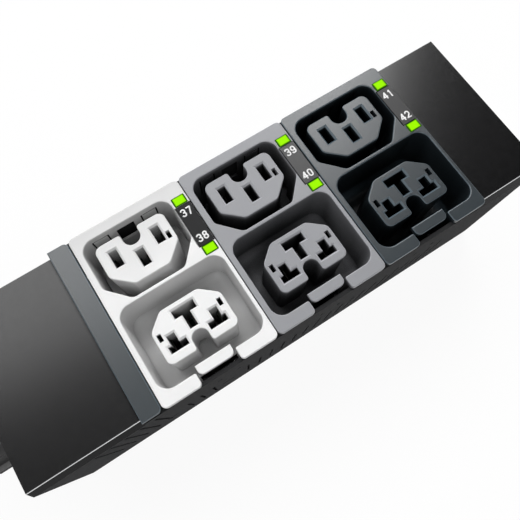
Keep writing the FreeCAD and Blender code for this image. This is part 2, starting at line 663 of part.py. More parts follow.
for i, colour in enumerate(MODULE_NAMES):
    for first, stem in ((front, "module_front_"), (block, "contact_block_"), (latch, "latch_")):
        piece = first if i == 0 else copy_body(first, stem + colour)
        place(piece, module_x(i), base_y, face)

    x0, x1 = module_x(i) + plate_left + s.led_play, module_x(i) + front_x1
    y0, y1 = base_y + plate_low + s.led_play, base_y + plate_high - s.led_play
    keep(box(x0, x1, y0, y1, face - s.plate_thick, face), "number_plate_" + colour)

    pipes = []
    for y0, y1 in windows:
        x0, x1 = led_left + s.led_play, led_right - s.led_play
        head = box(x0, x1, y0 + s.led_play, y1 - s.led_play, -s.flange_thick, ZERO)
        stem = box(x0 + s.pipe_inset, x1 - s.pipe_inset, y0 + s.pipe_inset, y1 - s.pipe_inset,
                   s.emitter_tall - s.board_deep, -s.flange_thick)
        pipes.append(fuse(head, stem))
    lenses = group("status_lenses_" + colour, pipes)
    place(lenses, module_x(i), base_y, face)

group("latch_pins", [
    rod("x", module_x(i) + pin_x0, base_y + pivot_y, face - s.pivot_deep, s.pin_r, pin_x1 - pin_x0)
    for i in range(3)])

# Leaf springs: bent strips on the side wall that push the latch arms back

leaf = new_body("leaf", node=False)
leaf_bend = (s.leaf_top + s.leaf_end) / -2
pad(leaf, "YZ_Plane", s.leaf_wide / -2, s.leaf_wide, lambda k: polygon(k, [
    (0, -s.leaf_end), (s.leaf_thick, -s.leaf_end), (s.leaf_thick, leaf_bend), (s.leaf_tip, -s.leaf_top),
    (s.leaf_tip - s.leaf_thick, -s.leaf_top), (0, leaf_bend)]))
group("latch_springs", [copy_at(leaf, module_x(i) + loc_mid, -half_in, face) for i in range(3)])

# Contact clips: two sprung leaves with a throat and flared lips, a base and a square tail

block_back = face + block_low


def contact_clip(label, wide, tall):
    """Drawn about the middle of its slot, with z from the face."""
    clip = new_body(label, node=False)
    out = wide / 2 - s.clip_play
    inside = out - s.clip_leaf
    low, top, throat = block_low - s.clip_base, -s.clip_top, -s.clip_top - s.clip_lip
    right = [(out, low), (out, block_low), (out - s.clip_throat, throat), (out, top), (inside, top),
             (inside - s.clip_throat, throat), (inside, block_low)]
    left = [(-x, z) for x, z in reversed(right)]
    pad(clip, "XZ_Plane", 0, tall - 2 * s.clip_play, lambda k: polygon(k, right + left), both=True)
    pad(clip, "XY_Plane", -s.board_deep, s.board_deep + low,
        lambda k: rect(k, -s.tail_half, -s.tail_half, s.tail_half, s.tail_half))
    return clip


upper_clip = contact_clip("upper_clip", s.slot_wide, s.slot_tall)
side_clip = contact_clip("side_clip", 2 * s.stem_half, stem_high - foot_low)
tee_clip = contact_clip("tee_clip", 2 * s.tee_stem_half, s.tee_stem_tall)
side_y, tee_y = (foot_low + stem_high) / 2, (tee_stem_low + tee_bar_low) / 2
for label, upper_spot, lower_clip, lower_spot in (
        ("line_contacts", blade_spots[0], side_clip, (loc_mid - s.stem_off, side_y)),
        ("neutral_contacts", blade_spots[2], side_clip, (loc_mid + s.stem_off, side_y)),
        ("earth_contacts", blade_spots[1], tee_clip, (loc_mid, tee_y))):
    group(label, [copy_at(clip, module_x(i) + x, base_y + y, face) for i in range(3)
                  for clip, (x, y) in ((upper_clip, upper_spot), (lower_clip, lower_spot))])

# Screws that hold the blocks, the board, the end plates and the terminal block


def screw_down(x, y, seat, shank_r, long, head_r, head_tall):
    """Screw that points down from its seat, with its head above."""
    return fuse(rod("z", x, y, seat - long, shank_r, long), rod("z", x, y, seat, head_r, head_tall))


def screw_up(x, y, seat, shank_r, long, head_r, head_tall):
    return fuse(rod("z", x, y, seat, shank_r, long), rod("z", x, y, seat - head_tall, head_r, head_tall))


group("block_screws", [
    screw_up(module_x(i) + x, base_y + y, block_back, s.board_screw_r, s.board_screw_long,
             s.board_head_r, s.board_head_tall)
    for i in range(3) for x, y in bosses])
group("board_screws", [
    screw_down(x, y, board_top, s.board_screw_r, s.board_screw_long, s.board_head_r, s.board_head_tall)
    for x, y in standoffs])
group("board_standoffs", [
    cut(rod("z", x, y, ZERO, s.standoff_r, board_low),
        rod("z", x, y, board_low - s.board_pilot, s.screw_hole_r, s.board_pilot))
    for x, y in standoffs])
group("back_screws", [
    screw_up(x, y, s.sheet_thick, s.end_screw_r, long, s.end_head_r, s.sheet_thick)
    for spots, long in ((end_screws, s.end_screw_long), (terminal_screws, s.terminal_screw_long))
    for x, y in spots])

# Outlet board with relays below and light emitters above

board = new_body("outlet_board")


def board_outline(k):
    board_half = half_in - s.board_gap
    rect(k, modules + s.board_edge, -board_half, modules_end - s.board_edge, board_half)
    for x, y in standoffs:
        circle(k, x, y, s.screw_hole_r)


pad(board, "XY_Plane", board_low, s.board_thick, board_outline)
relays, emitters = [], []
for i in range(3):
    for y in (loc_low, upc_low + s.relay_up):
        x0, y0 = module_x(i) + s.relay_x, base_y + y
        relays.append(box(x0, x0 + s.relay_long, y0, y0 + s.relay_wide, board_low - s.relay_tall, board_low))
    for y0, y1 in windows:
        x, y = module_x(i) + (led_left + led_right) / 2, base_y + (y0 + y1) / 2
        emitters.append(box(x - s.emitter_half, x + s.emitter_half, y - s.emitter_half, y + s.emitter_half,
                            board_top, board_top + s.emitter_tall))
group("outlet_relays", relays)
group("light_emitters", emitters)

# Bus bars: stamped strips on edge below the board, with one tab for each module

bus_top = face - s.bus_deep
bus_low = bus_top - s.bus_tall
terminal_x0 = left_end + s.block_x
terminal_x1 = terminal_x0 + s.terminal_long
bus_x0, bus_x1 = terminal_x1 - s.terminal_slot, modules_end - s.bus_end
bus_rows = (("line_bus", -s.bus_step), ("neutral_bus", ZERO), ("earth_bus", s.bus_step))
bus_outline = [(bus_x0, bus_top), (bus_x0, bus_low), (bus_x1, bus_low), (bus_x1, bus_top)]
for i in (2, 1, 0):
    tab_x0 = module_x(i) + (module_pitch - s.bus_tab) / 2
    tab_x1 = tab_x0 + s.bus_tab
    bus_outline += [(tab_x1, bus_top), (tab_x1, board_low), (tab_x0, board_low), (tab_x0, bus_top)]
for label, y in bus_rows:
    pad(new_body(label), "XZ_Plane", -y, s.bus_thick, lambda k: polygon(k, bus_outline), both=True)

# Terminal block: stepped moulding with wire holes, open bar slots and clamp screws

terminal = new_body("terminal_block")
terminal_top = s.sheet_thick + s.terminal_tall
pole = s.terminal_half * 2 / 3
step_x, step_z = terminal_x1 - s.terminal_step, terminal_top - s.terminal_drop
pad(terminal, "XZ_Plane", 0, 2 * s.terminal_half, lambda k: polygon(k, [
    (terminal_x0, s.sheet_thick), (terminal_x1, s.sheet_thick), (terminal_x1, step_z), (step_x, step_z),
    (step_x, terminal_top), (terminal_x0, terminal_top)]), both=True)
wire_z = bus_top - s.bus_tall / 2
pocket(terminal, "YZ_Plane", terminal_x0, s.wire_hole_deep,
       lambda k: [circle(k, n * pole, wire_z, s.wire_hole_r) for n in (-1, 0, 1)], reverse=True)
pocket(terminal, "YZ_Plane", terminal_x1, s.terminal_slot, lambda k: [
    rect(k, y - s.bus_thick / 2 - s.clamp_play, bus_low - s.clamp_play,
         y + s.bus_thick / 2 + s.clamp_play, bus_top + s.clamp_play) for _, y in bus_rows])
clamp_x = terminal_x0 + s.wire_hole_deep / 2
clamp_spots = [(clamp_x, n * pole) for n in (-1, 0, 1)]
clamp_seat = terminal_top - s.clamp_long
pocket(terminal, "XY_Plane", terminal_top, s.clamp_long,
       lambda k: [circle(k, x, y, s.clamp_r + s.clamp_play) for x, y in clamp_spots])
pocket(terminal, "XY_Plane", s.sheet_thick, s.terminal_screw_long,
       lambda k: [circle(k, x, y, s.end_screw_r) for x, y in terminal_screws], reverse=True)
group("terminal_screws", [
    rod("z", x, y, clamp_seat, s.clamp_r, s.clamp_long - s.clamp_sink) for x, y in clamp_spots])

# Earth stud and nut on the back wall

keep(rod("z", *stud, ZERO, s.stud_r, s.stud_long), "earth_stud")
keep(cut(hexagon("z", *stud, s.stud_nut_up, s.stud_nut_r, s.stud_nut_tall),
         rod("z", *stud, s.stud_nut_up, s.stud_r, s.stud_nut_tall)), "earth_nut")

# End plates: bent sheets with a foot that is screwed to the back wall

end_half = half_in - s.lug_play - s.lug_thick - s.end_play
end_high = face - s.cover_drop - s.cover_thick - s.end_play


def end_plate(label, x_out, inward, screws):
    plate = new_body(label)
    low, foot_top = s.sheet_thick, s.sheet_thick + s.end_thick
    x_in = x_out + inward * s.end_thick
    x_foot = x_in + inward * s.foot_long
    bent = [(x_out, low), (x_foot, low), (x_foot, foot_top), (x_in, foot_top), (x_in, end_high),
            (x_out, end_high)]
    pad(plate, "XZ_Plane", 0, 2 * end_half, lambda k: polygon(k, bent), both=True)
    dress(plate, "Fillet", s.end_bend, along("y", (x_out, low), (x_in, foot_top)))
    pocket(plate, "XY_Plane", low, s.end_screw_long,
           lambda k: [circle(k, x, y, s.end_screw_r) for x, y in screws], reverse=True)
    return plate


left_plate = end_plate("left_end_plate", left_end, 1, end_screws[:2])
pocket(left_plate, "YZ_Plane", left_end, s.end_thick,
       lambda k: circle(k, 0, s.gland_z, s.gland_r + s.screw_play), reverse=True)
end_plate("right_end_plate", right_end, -1, end_screws[2:])

# Cable gland in the left end: hexagon body, lock nut inside, dome nut and seal outside

hex_x = left_end - s.gland_hex_long
neck_x = hex_x - s.gland_neck_long
body_long = s.gland_neck_long + s.gland_hex_long + s.gland_stub
keep(cut(fuse(hexagon("x", hex_x, ZERO, s.gland_z, s.gland_hex_r, s.gland_hex_long),
              rod("x", neck_x, ZERO, s.gland_z, s.gland_neck_r, s.gland_neck_long),
              rod("x", left_end, ZERO, s.gland_z, s.gland_r, s.gland_stub)),
         rod("x", neck_x, ZERO, s.gland_z, s.gland_bore_r, body_long)),
     "gland_body")
keep(cut(hexagon("x", left_end + s.end_thick, ZERO, s.gland_z, s.gland_hex_r, s.gland_nut_long),
         rod("x", left_end + s.end_thick, ZERO, s.gland_z, s.gland_r + s.screw_play, s.gland_nut_long)),
     "gland_lock_nut")
dome = new_body("gland_dome_nut")
reach = s.gland_reach - s.gland_hex_long
neck_hole = s.gland_neck_r + s.screw_play
profile = new_sketch(dome, "XZ_Plane", 0)
polygon(profile, [
    (0, neck_hole), (0, s.dome_r), (s.dome_taper - reach, s.dome_r), (-reach, s.dome_r - s.dome_taper),
    (-reach, s.dome_mouth_r), (s.dome_lip - reach, s.dome_mouth_r), (s.dome_lip - reach, neck_hole)])
turned = dome.newObject("PartDesign::Revolution", "Turned")
turned.Profile = profile
turned.ReferenceAxis = (profile, ["H_Axis"])
turned.Angle = 360
flute = pocket(dome, "YZ_Plane", -s.flute_in, reach,
               lambda k: circle(k, 0, s.dome_r + s.flute_r - s.flute_deep, s.flute_r))
flutes = dome.newObject("PartDesign::PolarPattern", "Flutes")
flutes.Originals = [flute]
flutes.Axis = (next(f for f in dome.Origin.OriginFeatures if f.Role == "X_Axis"), [""])
bind(flutes, "Occurrences", s.flute_count)
dome.Tip = flutes
place(dome, hex_x, ZERO, s.gland_z)
keep(cut(rod("x", left_end - s.gland_reach + s.dome_lip, ZERO, s.gland_z, s.gland_bore_r, s.seal_long),
         rod("x", left_end - s.gland_reach + s.dome_lip, ZERO, s.gland_z, s.seal_hole_r, s.seal_long)),
     "gland_seal")

# Threaded nuts clinched in the back wall

group("mount_nuts", [
    cut(fuse(rod("z", x, y, ZERO, s.mount_collar_r, s.sheet_thick),
             rod("z", x, y, s.sheet_thick, s.mount_nut_r, s.mount_nut_tall)),
        rod("z", x, y, ZERO, s.mount_r, s.sheet_thick + s.mount_nut_tall))
    for x, y in mount_nuts])

# Check everything, then write one file for each piece

doc.recompute()
for obj in doc.Objects:
    if "Invalid" in obj.State or "Error" in obj.State:
        raise RuntimeError("%s (%s) failed: %s" % (obj.Label, obj.TypeId, obj.State))
for node in nodes:
    if node.Shape.isNull() or not node.Shape.isValid():
        raise RuntimeError("bad shape in " + node.Label)
os.makedirs("parts", exist_ok=True)
for node in nodes:
    node.Shape.exportStep("parts/%s.step" % node.Label)
    print("%-22s %9.1f mm3" % (node.Label, node.Shape.Volume))
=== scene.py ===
# %% [markdown]
# # A rack power unit, dressed for its picture
# The object is a short rack power unit: a bent steel channel with three outlet modules in white, grey and
# slate. Each module has two outlets, two status lights, a plate with the outlet numbers and a sprung release
# latch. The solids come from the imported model, already in metres and in place. This script gives them their
# finishes and adds what is too fine for the solids: lens caps, plates with a shadow gap and printed numbers,
# coves in the lower wells, screw sockets and threads.

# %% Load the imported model
import json
import math

import bmesh
import bpy
from mathutils import Euler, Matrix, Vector


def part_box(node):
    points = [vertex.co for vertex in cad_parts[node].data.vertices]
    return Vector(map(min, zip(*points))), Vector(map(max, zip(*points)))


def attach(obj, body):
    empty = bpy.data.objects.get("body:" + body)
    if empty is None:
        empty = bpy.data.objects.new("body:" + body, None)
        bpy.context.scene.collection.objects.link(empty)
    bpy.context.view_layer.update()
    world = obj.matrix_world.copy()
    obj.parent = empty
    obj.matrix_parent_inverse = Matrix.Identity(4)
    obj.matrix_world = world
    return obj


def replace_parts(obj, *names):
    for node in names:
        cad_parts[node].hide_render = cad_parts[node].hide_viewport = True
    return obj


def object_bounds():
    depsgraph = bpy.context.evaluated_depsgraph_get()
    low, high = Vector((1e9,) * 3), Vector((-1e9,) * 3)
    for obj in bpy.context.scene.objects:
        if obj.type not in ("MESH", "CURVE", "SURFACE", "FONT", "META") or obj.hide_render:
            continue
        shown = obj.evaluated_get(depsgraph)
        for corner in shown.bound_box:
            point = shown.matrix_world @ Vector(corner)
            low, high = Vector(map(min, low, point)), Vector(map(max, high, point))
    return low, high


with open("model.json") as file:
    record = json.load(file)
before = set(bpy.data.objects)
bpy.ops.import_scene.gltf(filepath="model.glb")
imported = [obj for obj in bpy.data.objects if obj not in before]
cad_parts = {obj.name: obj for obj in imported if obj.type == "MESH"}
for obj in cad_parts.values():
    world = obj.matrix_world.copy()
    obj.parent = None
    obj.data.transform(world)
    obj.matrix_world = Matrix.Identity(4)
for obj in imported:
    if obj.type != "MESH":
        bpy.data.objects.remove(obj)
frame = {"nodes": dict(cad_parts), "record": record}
cad_box = [list(corner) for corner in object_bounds()]
MM = 0.001
COLOURS = ("white", "grey", "slate")
print("nodes:", len(frame["nodes"]))
print("box in mm:", [[round(v / MM, 1) for v in corner] for corner in cad_box])

# %% [markdown]
# ## The camera
# The photograph was taken from close by, almost straight above the outlets, with a moderate wide-angle lens,
# and it is cropped off centre. The even 14 mm spacing of the outlet slots gave the camera's place and turn, and
# the crop is a small lens shift. Shift keeps the picture plane as it was, where turning the camera would bend
# the parallels, so the unit's edges run as they do in the photograph.

# %% Camera at the photograph's place
eye = bpy.data.cameras.new("photo_camera")
eye.sensor_width = 36.0
eye.lens = 33.163
eye.shift_x, eye.shift_y = 0.02575, 0.03579
eye.clip_start, eye.clip_end = 0.01, 20.0
camera = bpy.data.objects.new("photo_camera", eye)
camera.location = (-0.017258, -0.040153, 0.191394)
camera.rotation_euler = Euler((0.265800, 0.001429, -0.570166))
bpy.context.scene.collection.objects.link(camera)
bpy.context.scene.camera = camera
bpy.context.scene.view_settings.view_transform = "Standard"
print("camera stands", round(camera.location.z / MM), "mm above the floor")

# %% [markdown]
# ## One way to add a node
# Shaders and Geometry Nodes are both trees of nodes. A tree can be wired line by line, but then each node
# takes four or five lines. One small function makes a node, sets its properties and fills or links its inputs,
# so a finish reads as a short list of what it is made of. Colours are written as sRGB hex, as a paint program
# shows them, and one function turns them into the linear numbers that light is worked out with.

# %% Node and colour helpers
def add(tree, kind, inputs=None, **settings):
    """Adds a node. A value that is a socket is linked, and any other is set."""
    node = tree.nodes.new(kind)
    for name, value in settings.items():
        setattr(node, name, value)
    for name, value in (inputs or {}).items():
        if isinstance(value, bpy.types.NodeSocket):
            tree.links.new(value, node.inputs[name])
        else:
            node.inputs[name].default_value = value
    return node


def linear(code):
    """Linear RGBA of an sRGB hex colour such as 8f9094."""
    parts = [int(code[i:i + 2], 16) / 255 for i in (0, 2, 4)]
    return [c / 12.92 if c <= 0.04045 else ((c + 0.055) / 1.055) ** 2.4 for c in parts] + [1.0]


def per_mm(size):
    """Scale of a pattern on Object coordinates whose features are this many millimetres apart."""
    return 1.0 / (size * MM)


def new_finish(name):
    """An empty material, its tree, and the Object coordinates that its patterns follow."""
    made = bpy.data.materials.new(name)
    made.use_nodes = True
    made.node_tree.nodes.clear()
    return made, made.node_tree, add(made.node_tree, "ShaderNodeTexCoord").outputs["Object"]


print("slate as linear light:", [round(c, 3) for c in linear("2a3237")])

# %% [markdown]
# ## The surround
# The picture is a plain product shot with an even white surround. A bright world alone would give that, but then
# every dark face would mirror it and look grey. So the world is white near the horizon, where the camera sees
# it, and dim overhead, as a studio ceiling is, more so on the right. The rays that light the object meet a
# weaker, even fill.

# %% World: white at the horizon, dim overhead
CEILING_LEFT, CEILING_RIGHT, FILL = 0.26, 0.01, 0.26


def seen_directly(tree):
    """1 for a ray from the camera, off a gloss or through glass, and 0 for one that lights a matt surface."""
    path = add(tree, "ShaderNodeLightPath").outputs
    seen = add(tree, "ShaderNodeMath", {0: path["Is Camera Ray"], 1: path["Is Glossy Ray"]}, operation="MAXIMUM")
    seen = add(tree, "ShaderNodeMath", {0: seen.outputs[0], 1: path["Is Transmission Ray"]}, operation="MAXIMUM")
    return seen.outputs[0]


world = bpy.data.worlds.new("studio")
bpy.context.scene.world = world
world.use_nodes = True
sky = world.node_tree
sky.nodes.clear()
height = add(sky, "ShaderNodeSeparateXYZ", {0: add(sky, "ShaderNodeTexCoord").outputs["Generated"]})
overhead = add(sky, "ShaderNodeMapRange", {"Value": height.outputs["X"], "From Min": -0.3, "From Max": 0.4,
                                           "To Min": CEILING_LEFT, "To Max": CEILING_RIGHT})
ceiling = add(sky, "ShaderNodeMapRange", {"Value": height.outputs["Z"], "From Min": 0.3, "From Max": 0.65,
                                          "To Min": 1.0, "To Max": overhead.outputs["Result"]})
shown = add(sky, "ShaderNodeBackground", {"Color": linear("ffffff"), "Strength": ceiling.outputs["Result"]})
fill = add(sky, "ShaderNodeBackground", {"Color": linear("ffffff"), "Strength": FILL})
both = add(sky, "ShaderNodeMixShader", {"Fac": seen_directly(sky), 1: fill.outputs[0], 2: shown.outputs[0]})
add(sky, "ShaderNodeOutputWorld", {"Surface": both.outputs[0]})
print("world nodes:", len(sky.nodes))

# %% [markdown]
# ## The floor
# The unit lies on white paper. Plain paper goes grey under soft light, and more light would burn out the white
# module. So most of what the camera sees of the paper glows at a strength of 1, which is white, and the small
# rest is matt and keeps the shadow.

# %% Floor: white paper that keeps the shadow
FLOOR_HALF, FLOOR_LEVEL, GLOW = 3.0, -0.2 * MM, 0.93
floor_mesh = bpy.data.meshes.new("floor")
corners = [(x * FLOOR_HALF, y * FLOOR_HALF, FLOOR_LEVEL) for x, y in ((-1, -1), (1, -1), (1, 1), (-1, 1))]
floor_mesh.from_pydata(corners, [], [(0, 1, 2, 3)])
floor = bpy.data.objects.new("floor", floor_mesh)
bpy.context.scene.collection.objects.link(floor)
paper, tree, _ = new_finish("white_paper_sweep")
matt = add(tree, "ShaderNodeBsdfDiffuse", {"Color": linear("f4f4f4")})
lit = add(tree, "ShaderNodeEmission", {"Color": linear("ffffff"), "Strength": 1.0})
share = add(tree, "ShaderNodeMath", {0: seen_directly(tree), 1: GLOW}, operation="MULTIPLY")
mixed = add(tree, "ShaderNodeMixShader", {"Fac": share.outputs[0], 1: matt.outputs[0], 2: lit.outputs[0]})
add(tree, "ShaderNodeOutputMaterial", {"Surface": mixed.outputs[0]})
floor_mesh.materials.append(paper)
print("floor:", 2 * FLOOR_HALF, "m square")

# %% [markdown]
# ## The lamps
# A wide softbox hangs behind the unit and lays a pale sheen over the upper half of every dark face. A smaller one
# to the right brightens the far corner of the right cover, and a weak one near the camera opens the wells. A
# point light would be simpler, but its highlights are hard spots, and the photograph has none.

# %% Lamps: behind, to the right and near the camera
AIM = Vector((0.02, 0.0, 0.05))


def softbox(name, spot, wide, tall, watts):
    """A rectangular lamp at spot that faces the middle of the outlets."""
    lamp = bpy.data.lights.new(name, "AREA")
    lamp.shape = "RECTANGLE"
    lamp.size, lamp.size_y, lamp.energy = wide, tall, watts
    held = bpy.data.objects.new(name, lamp)
    held.location = spot
    held.rotation_euler = (Vector(spot) - AIM).to_track_quat("Z", "Y").to_euler()
    bpy.context.scene.collection.objects.link(held)
    print(name, "radiance", round(watts / (math.pi * wide * tall), 2))


softbox("sheen", (0.05, 0.75, 1.17), 1.62, 0.85, 16.4)
softbox("peak", (0.41, 0.42, 0.575), 0.26, 0.26, 1.35)
softbox("front", (-0.03, -0.14, 0.32), 0.12, 0.12, 0.14)

# %% [markdown]
# ## Moulded ABS
# The module fronts, latches and contact blocks are injection-moulded ABS. The mould leaves a very fine satin
# texture, so the plastic shows a soft sheen rather than a mirror. A flat colour would look painted on, so the
# roughness and the height follow a fine grain, and a slow drift of a percent or two stands for the uneven flow
# of the melt. One recipe makes all three colours.

# %% Moulded ABS in white, grey and slate
FACE = cad_box[1][2]
# A gloss below this looks the same in a well as on the face, so it is a plain number there.
FAINT = 0.1


def moulded_abs(name, code, low, high, gloss=0.5, deep=1.0, edge=1.0, far=1.0):
    """Satin moulded ABS: the grain gives the soft sheen, the drift keeps large faces from looking flat.

    Rounded edges are painted lighter, as a highlight: edge is how many times. In wells and slots, from a
    millimetre or two below the face, the colour and the gloss are darkened as painted shade: deep is the share
    of them that is left there. Towards the upper edge the colour is darkened as painted shade too: far is the
    share of the colour that is left there.
    """
    made, tree, place = new_finish(name)
    # The real texture is about 0.1 mm apart. It is drawn at 0.5 mm, because finer does not show.
    grain = add(tree, "ShaderNodeTexNoise", {"Vector": place, "Scale": per_mm(0.5), "Detail": 2.0})
    drift = add(tree, "ShaderNodeTexNoise", {"Vector": place, "Scale": per_mm(14.0), "Detail": 2.0})
    tint = add(tree, "ShaderNodeMapRange", {"Value": drift.outputs["Fac"], "From Min": 0.3, "From Max": 0.7,
                                            "To Min": 0.97, "To Max": 1.02})
    # Painted shade: the colour and the gloss darken where little open air lies within 12 mm, as in the wells.
    open_air = add(tree, "ShaderNodeAmbientOcclusion", {"Distance": 12 * MM}, samples=8)
    shade = add(tree, "ShaderNodeMapRange", {
        "Value": open_air.outputs["AO"], "From Min": 0.12, "From Max": 0.85, "To Min": deep, "To Max": 1.0})
    # A slot has walls within 5 mm on every side, which the gap round a core has not. There the colour is painted
    # black, as shade.
    walls = add(tree, "ShaderNodeAmbientOcclusion", {"Distance": 4.5 * MM}, samples=8)
    slot = add(tree, "ShaderNodeMapRange", {"Value": walls.outputs["AO"], "From Min": 0.20, "From Max": 0.36,
                                            "To Min": 0.02, "To Max": 1.0})
    shade = add(tree, "ShaderNodeMath", {0: shade.outputs["Result"], 1: slot.outputs["Result"]},
                operation="MULTIPLY")
    spot = add(tree, "ShaderNodeSeparateXYZ", {0: place}).outputs
    # Painted shade: the colour darkens towards the upper edge.
    top_shade = add(tree, "ShaderNodeMapRange", {"Value": spot["Y"], "From Min": 6 * MM, "From Max": 28 * MM,
                                              "To Min": 1.0, "To Max": far})
    # Within about a millimetre of the face the painted shade is lifted, so the rim of every well and slot keeps
    # its colour.
    mouth = add(tree, "ShaderNodeMapRange", {
        "Value": spot["Z"], "From Min": FACE - 2.2 * MM, "From Max": FACE - 0.7 * MM,
        "To Min": 0.0, "To Max": 1.0})
    shade = add(tree, "ShaderNodeMath", {0: shade.outputs[0], 1: mouth.outputs["Result"]}, operation="MAXIMUM")
    # Painted highlight: rounded edges are made lighter, up to edge times.
    facing = add(tree, "ShaderNodeNewGeometry").outputs["Normal"]
    slope = add(tree, "ShaderNodeSeparateXYZ", {0: facing}).outputs["Z"]
    round_in = add(tree, "ShaderNodeMapRange", {"Value": slope, "From Min": 0.97, "From Max": 0.8,
                                                "To Min": 0.0, "To Max": 1.0})
    round_out = add(tree, "ShaderNodeMapRange", {"Value": slope, "From Min": 0.05, "From Max": 0.3,
                                                 "To Min": 0.0, "To Max": 1.0})
    rounded = add(tree, "ShaderNodeMath", {0: round_in.outputs["Result"], 1: round_out.outputs["Result"]},
                  operation="MULTIPLY")
    edge_highlight = add(tree, "ShaderNodeMapRange", {"Value": rounded.outputs[0], "To Min": 1.0, "To Max": edge})
    tone = add(tree, "ShaderNodeMath", {0: tint.outputs["Result"], 1: shade.outputs[0]}, operation="MULTIPLY")
    tone = add(tree, "ShaderNodeMath", {0: tone.outputs[0], 1: edge_highlight.outputs["Result"]}, operation="MULTIPLY")
    tone = add(tree, "ShaderNodeMath", {0: tone.outputs[0], 1: top_shade.outputs["Result"]}, operation="MULTIPLY")
    # The gloss takes the same painted shade as the colour.
    glint = add(tree, "ShaderNodeMath", {0: shade.outputs[0], 1: gloss}, operation="MULTIPLY").outputs[0]
    colour = add(tree, "ShaderNodeVectorMath", {0: linear(code)[:3], 3: tone.outputs[0]}, operation="SCALE")
    sheen = add(tree, "ShaderNodeMapRange", {"Value": grain.outputs["Fac"], "From Min": 0.3, "From Max": 0.7,
                                             "To Min": low, "To Max": high})
    relief = add(tree, "ShaderNodeBump", {
        "Height": grain.outputs["Fac"], "Strength": 0.12, "Distance": 0.03 * MM})
    body = add(tree, "ShaderNodeBsdfPrincipled", {
        "Base Color": colour.outputs[0], "Roughness": sheen.outputs["Result"], "IOR": 1.53,
        "Specular IOR Level": gloss if gloss < FAINT else glint, "Normal": relief.outputs["Normal"]})
    add(tree, "ShaderNodeOutputMaterial", {"Surface": body.outputs[0]})
    return made


# Each colour's painted shade in the wells (deep) and towards the upper edge (far), and its painted edge highlight
# (edge).
abs_finish = {
    "white": moulded_abs("moulded_white_abs", "e8e8e8", 0.42, 0.52, gloss=0.08, deep=0.80, far=0.80),
    "grey": moulded_abs("moulded_grey_abs", "8f9094", 0.40, 0.50, gloss=0.4, deep=0.09, edge=1.5),
    "slate": moulded_abs("moulded_slate_abs", "2a3237", 0.28, 0.38, gloss=0.72, deep=0.10, edge=3.6),
}
print("plastics:", [made.name for made in abs_finish.values()])

# %% [markdown]
# ## Coated sheet steel
# The channel, the covers and the end plates are bent steel with a baked powder coat. The powder melts into a
# skin with a faint orange peel about a millimetre across, and small pits where a grain stayed whole. A noise
# gives the peel and a cell pattern the pits. The covers are smoother and blacker than the channel.

# %% Powder coats for the channel and the covers
def powder_coat(name, code, peel, pit, low, high, gloss=0.5, bright_edge_metal=0.0):
    """Baked powder coat: the peel breaks up reflections, the pits give a faint sparkle.

    On a folded edge a share of bright metal is mixed into the colour as a painted highlight, and shows as a
    bright line: the last argument is that share. Steep faces get less gloss, as painted shade.
    """
    made, tree, place = new_finish(name)
    skin = add(tree, "ShaderNodeTexNoise", {"Vector": place, "Scale": per_mm(1.1), "Detail": 1.5})
    pits = add(tree, "ShaderNodeTexVoronoi", {"Vector": place, "Scale": per_mm(0.8)})
    wear = add(tree, "ShaderNodeTexNoise", {"Vector": place, "Scale": per_mm(22.0), "Detail": 4.0})
    tint = add(tree, "ShaderNodeMapRange", {"Value": wear.outputs["Fac"], "From Min": 0.3, "From Max": 0.7,
                                            "To Min": 0.92, "To Max": 1.08})
    colour = add(tree, "ShaderNodeVectorMath", {0: linear(code)[:3], 3: tint.outputs["Result"]},
                 operation="SCALE")
    facing = add(tree, "ShaderNodeNewGeometry").outputs["Normal"]
    slope = add(tree, "ShaderNodeSeparateXYZ", {0: facing}).outputs["Z"]
    # Painted highlight: near the rounded edge the colour turns to bright metal, seen as a bright line.
    fold_in = add(tree, "ShaderNodeMapRange", {"Value": slope, "From Min": 0.98, "From Max": 0.92,
                                               "To Min": 0.0, "To Max": bright_edge_metal})
    fold_out = add(tree, "ShaderNodeMapRange", {"Value": slope, "From Min": 0.44, "From Max": 0.52,
                                                "To Min": 0.0, "To Max": 1.0})
    fold = add(tree, "ShaderNodeMath", {0: fold_in.outputs["Result"], 1: fold_out.outputs["Result"]},
               operation="MULTIPLY")
    colour = add(tree, "ShaderNodeMix", {0: fold.outputs[0], 6: colour.outputs[0], 7: linear("f2f3f4")},
                 data_type="RGBA")
    depth = add(tree, "ShaderNodeMath", {0: pits.outputs["Distance"], 1: pit, 2: skin.outputs["Fac"]},
                operation="MULTIPLY_ADD")
    sheen = add(tree, "ShaderNodeMapRange", {"Value": skin.outputs["Fac"], "From Min": 0.3, "From Max": 0.7,
                                             "To Min": low, "To Max": high})
    relief = add(tree, "ShaderNodeBump", {
        "Height": depth.outputs[0], "Strength": peel, "Distance": 0.03 * MM})
    # Painted shade: steep faces get less gloss, so the bevels stay dark.
    glint = add(tree, "ShaderNodeMapRange", {"Value": slope, "From Min": 0.5, "From Max": 0.9,
                                             "To Min": 0.04, "To Max": gloss})
    # Along a joint the next piece keeps the light out of a strip about a millimetre wide.
    joint_shade = add(tree, "ShaderNodeAmbientOcclusion", {"Distance": 1.4 * MM}, samples=8)
    joint_shade = add(tree, "ShaderNodeMapRange", {"Value": joint_shade.outputs["AO"], "From Min": 0.5, "From Max": 0.9,
                                             "To Min": 0.1, "To Max": 1.0})
    glint = add(tree, "ShaderNodeMath", {0: glint.outputs["Result"], 1: joint_shade.outputs["Result"]},
                operation="MULTIPLY")
    body = add(tree, "ShaderNodeBsdfPrincipled", {
        "Base Color": colour.outputs[2], "Metallic": fold.outputs[0] if bright_edge_metal else 0.0,
        "Roughness": sheen.outputs["Result"], "IOR": 1.5,
        "Specular IOR Level": gloss if gloss < FAINT else glint.outputs[0],
        "Normal": relief.outputs["Normal"]})
    add(tree, "ShaderNodeOutputMaterial", {"Surface": body.outputs[0]})
    return made


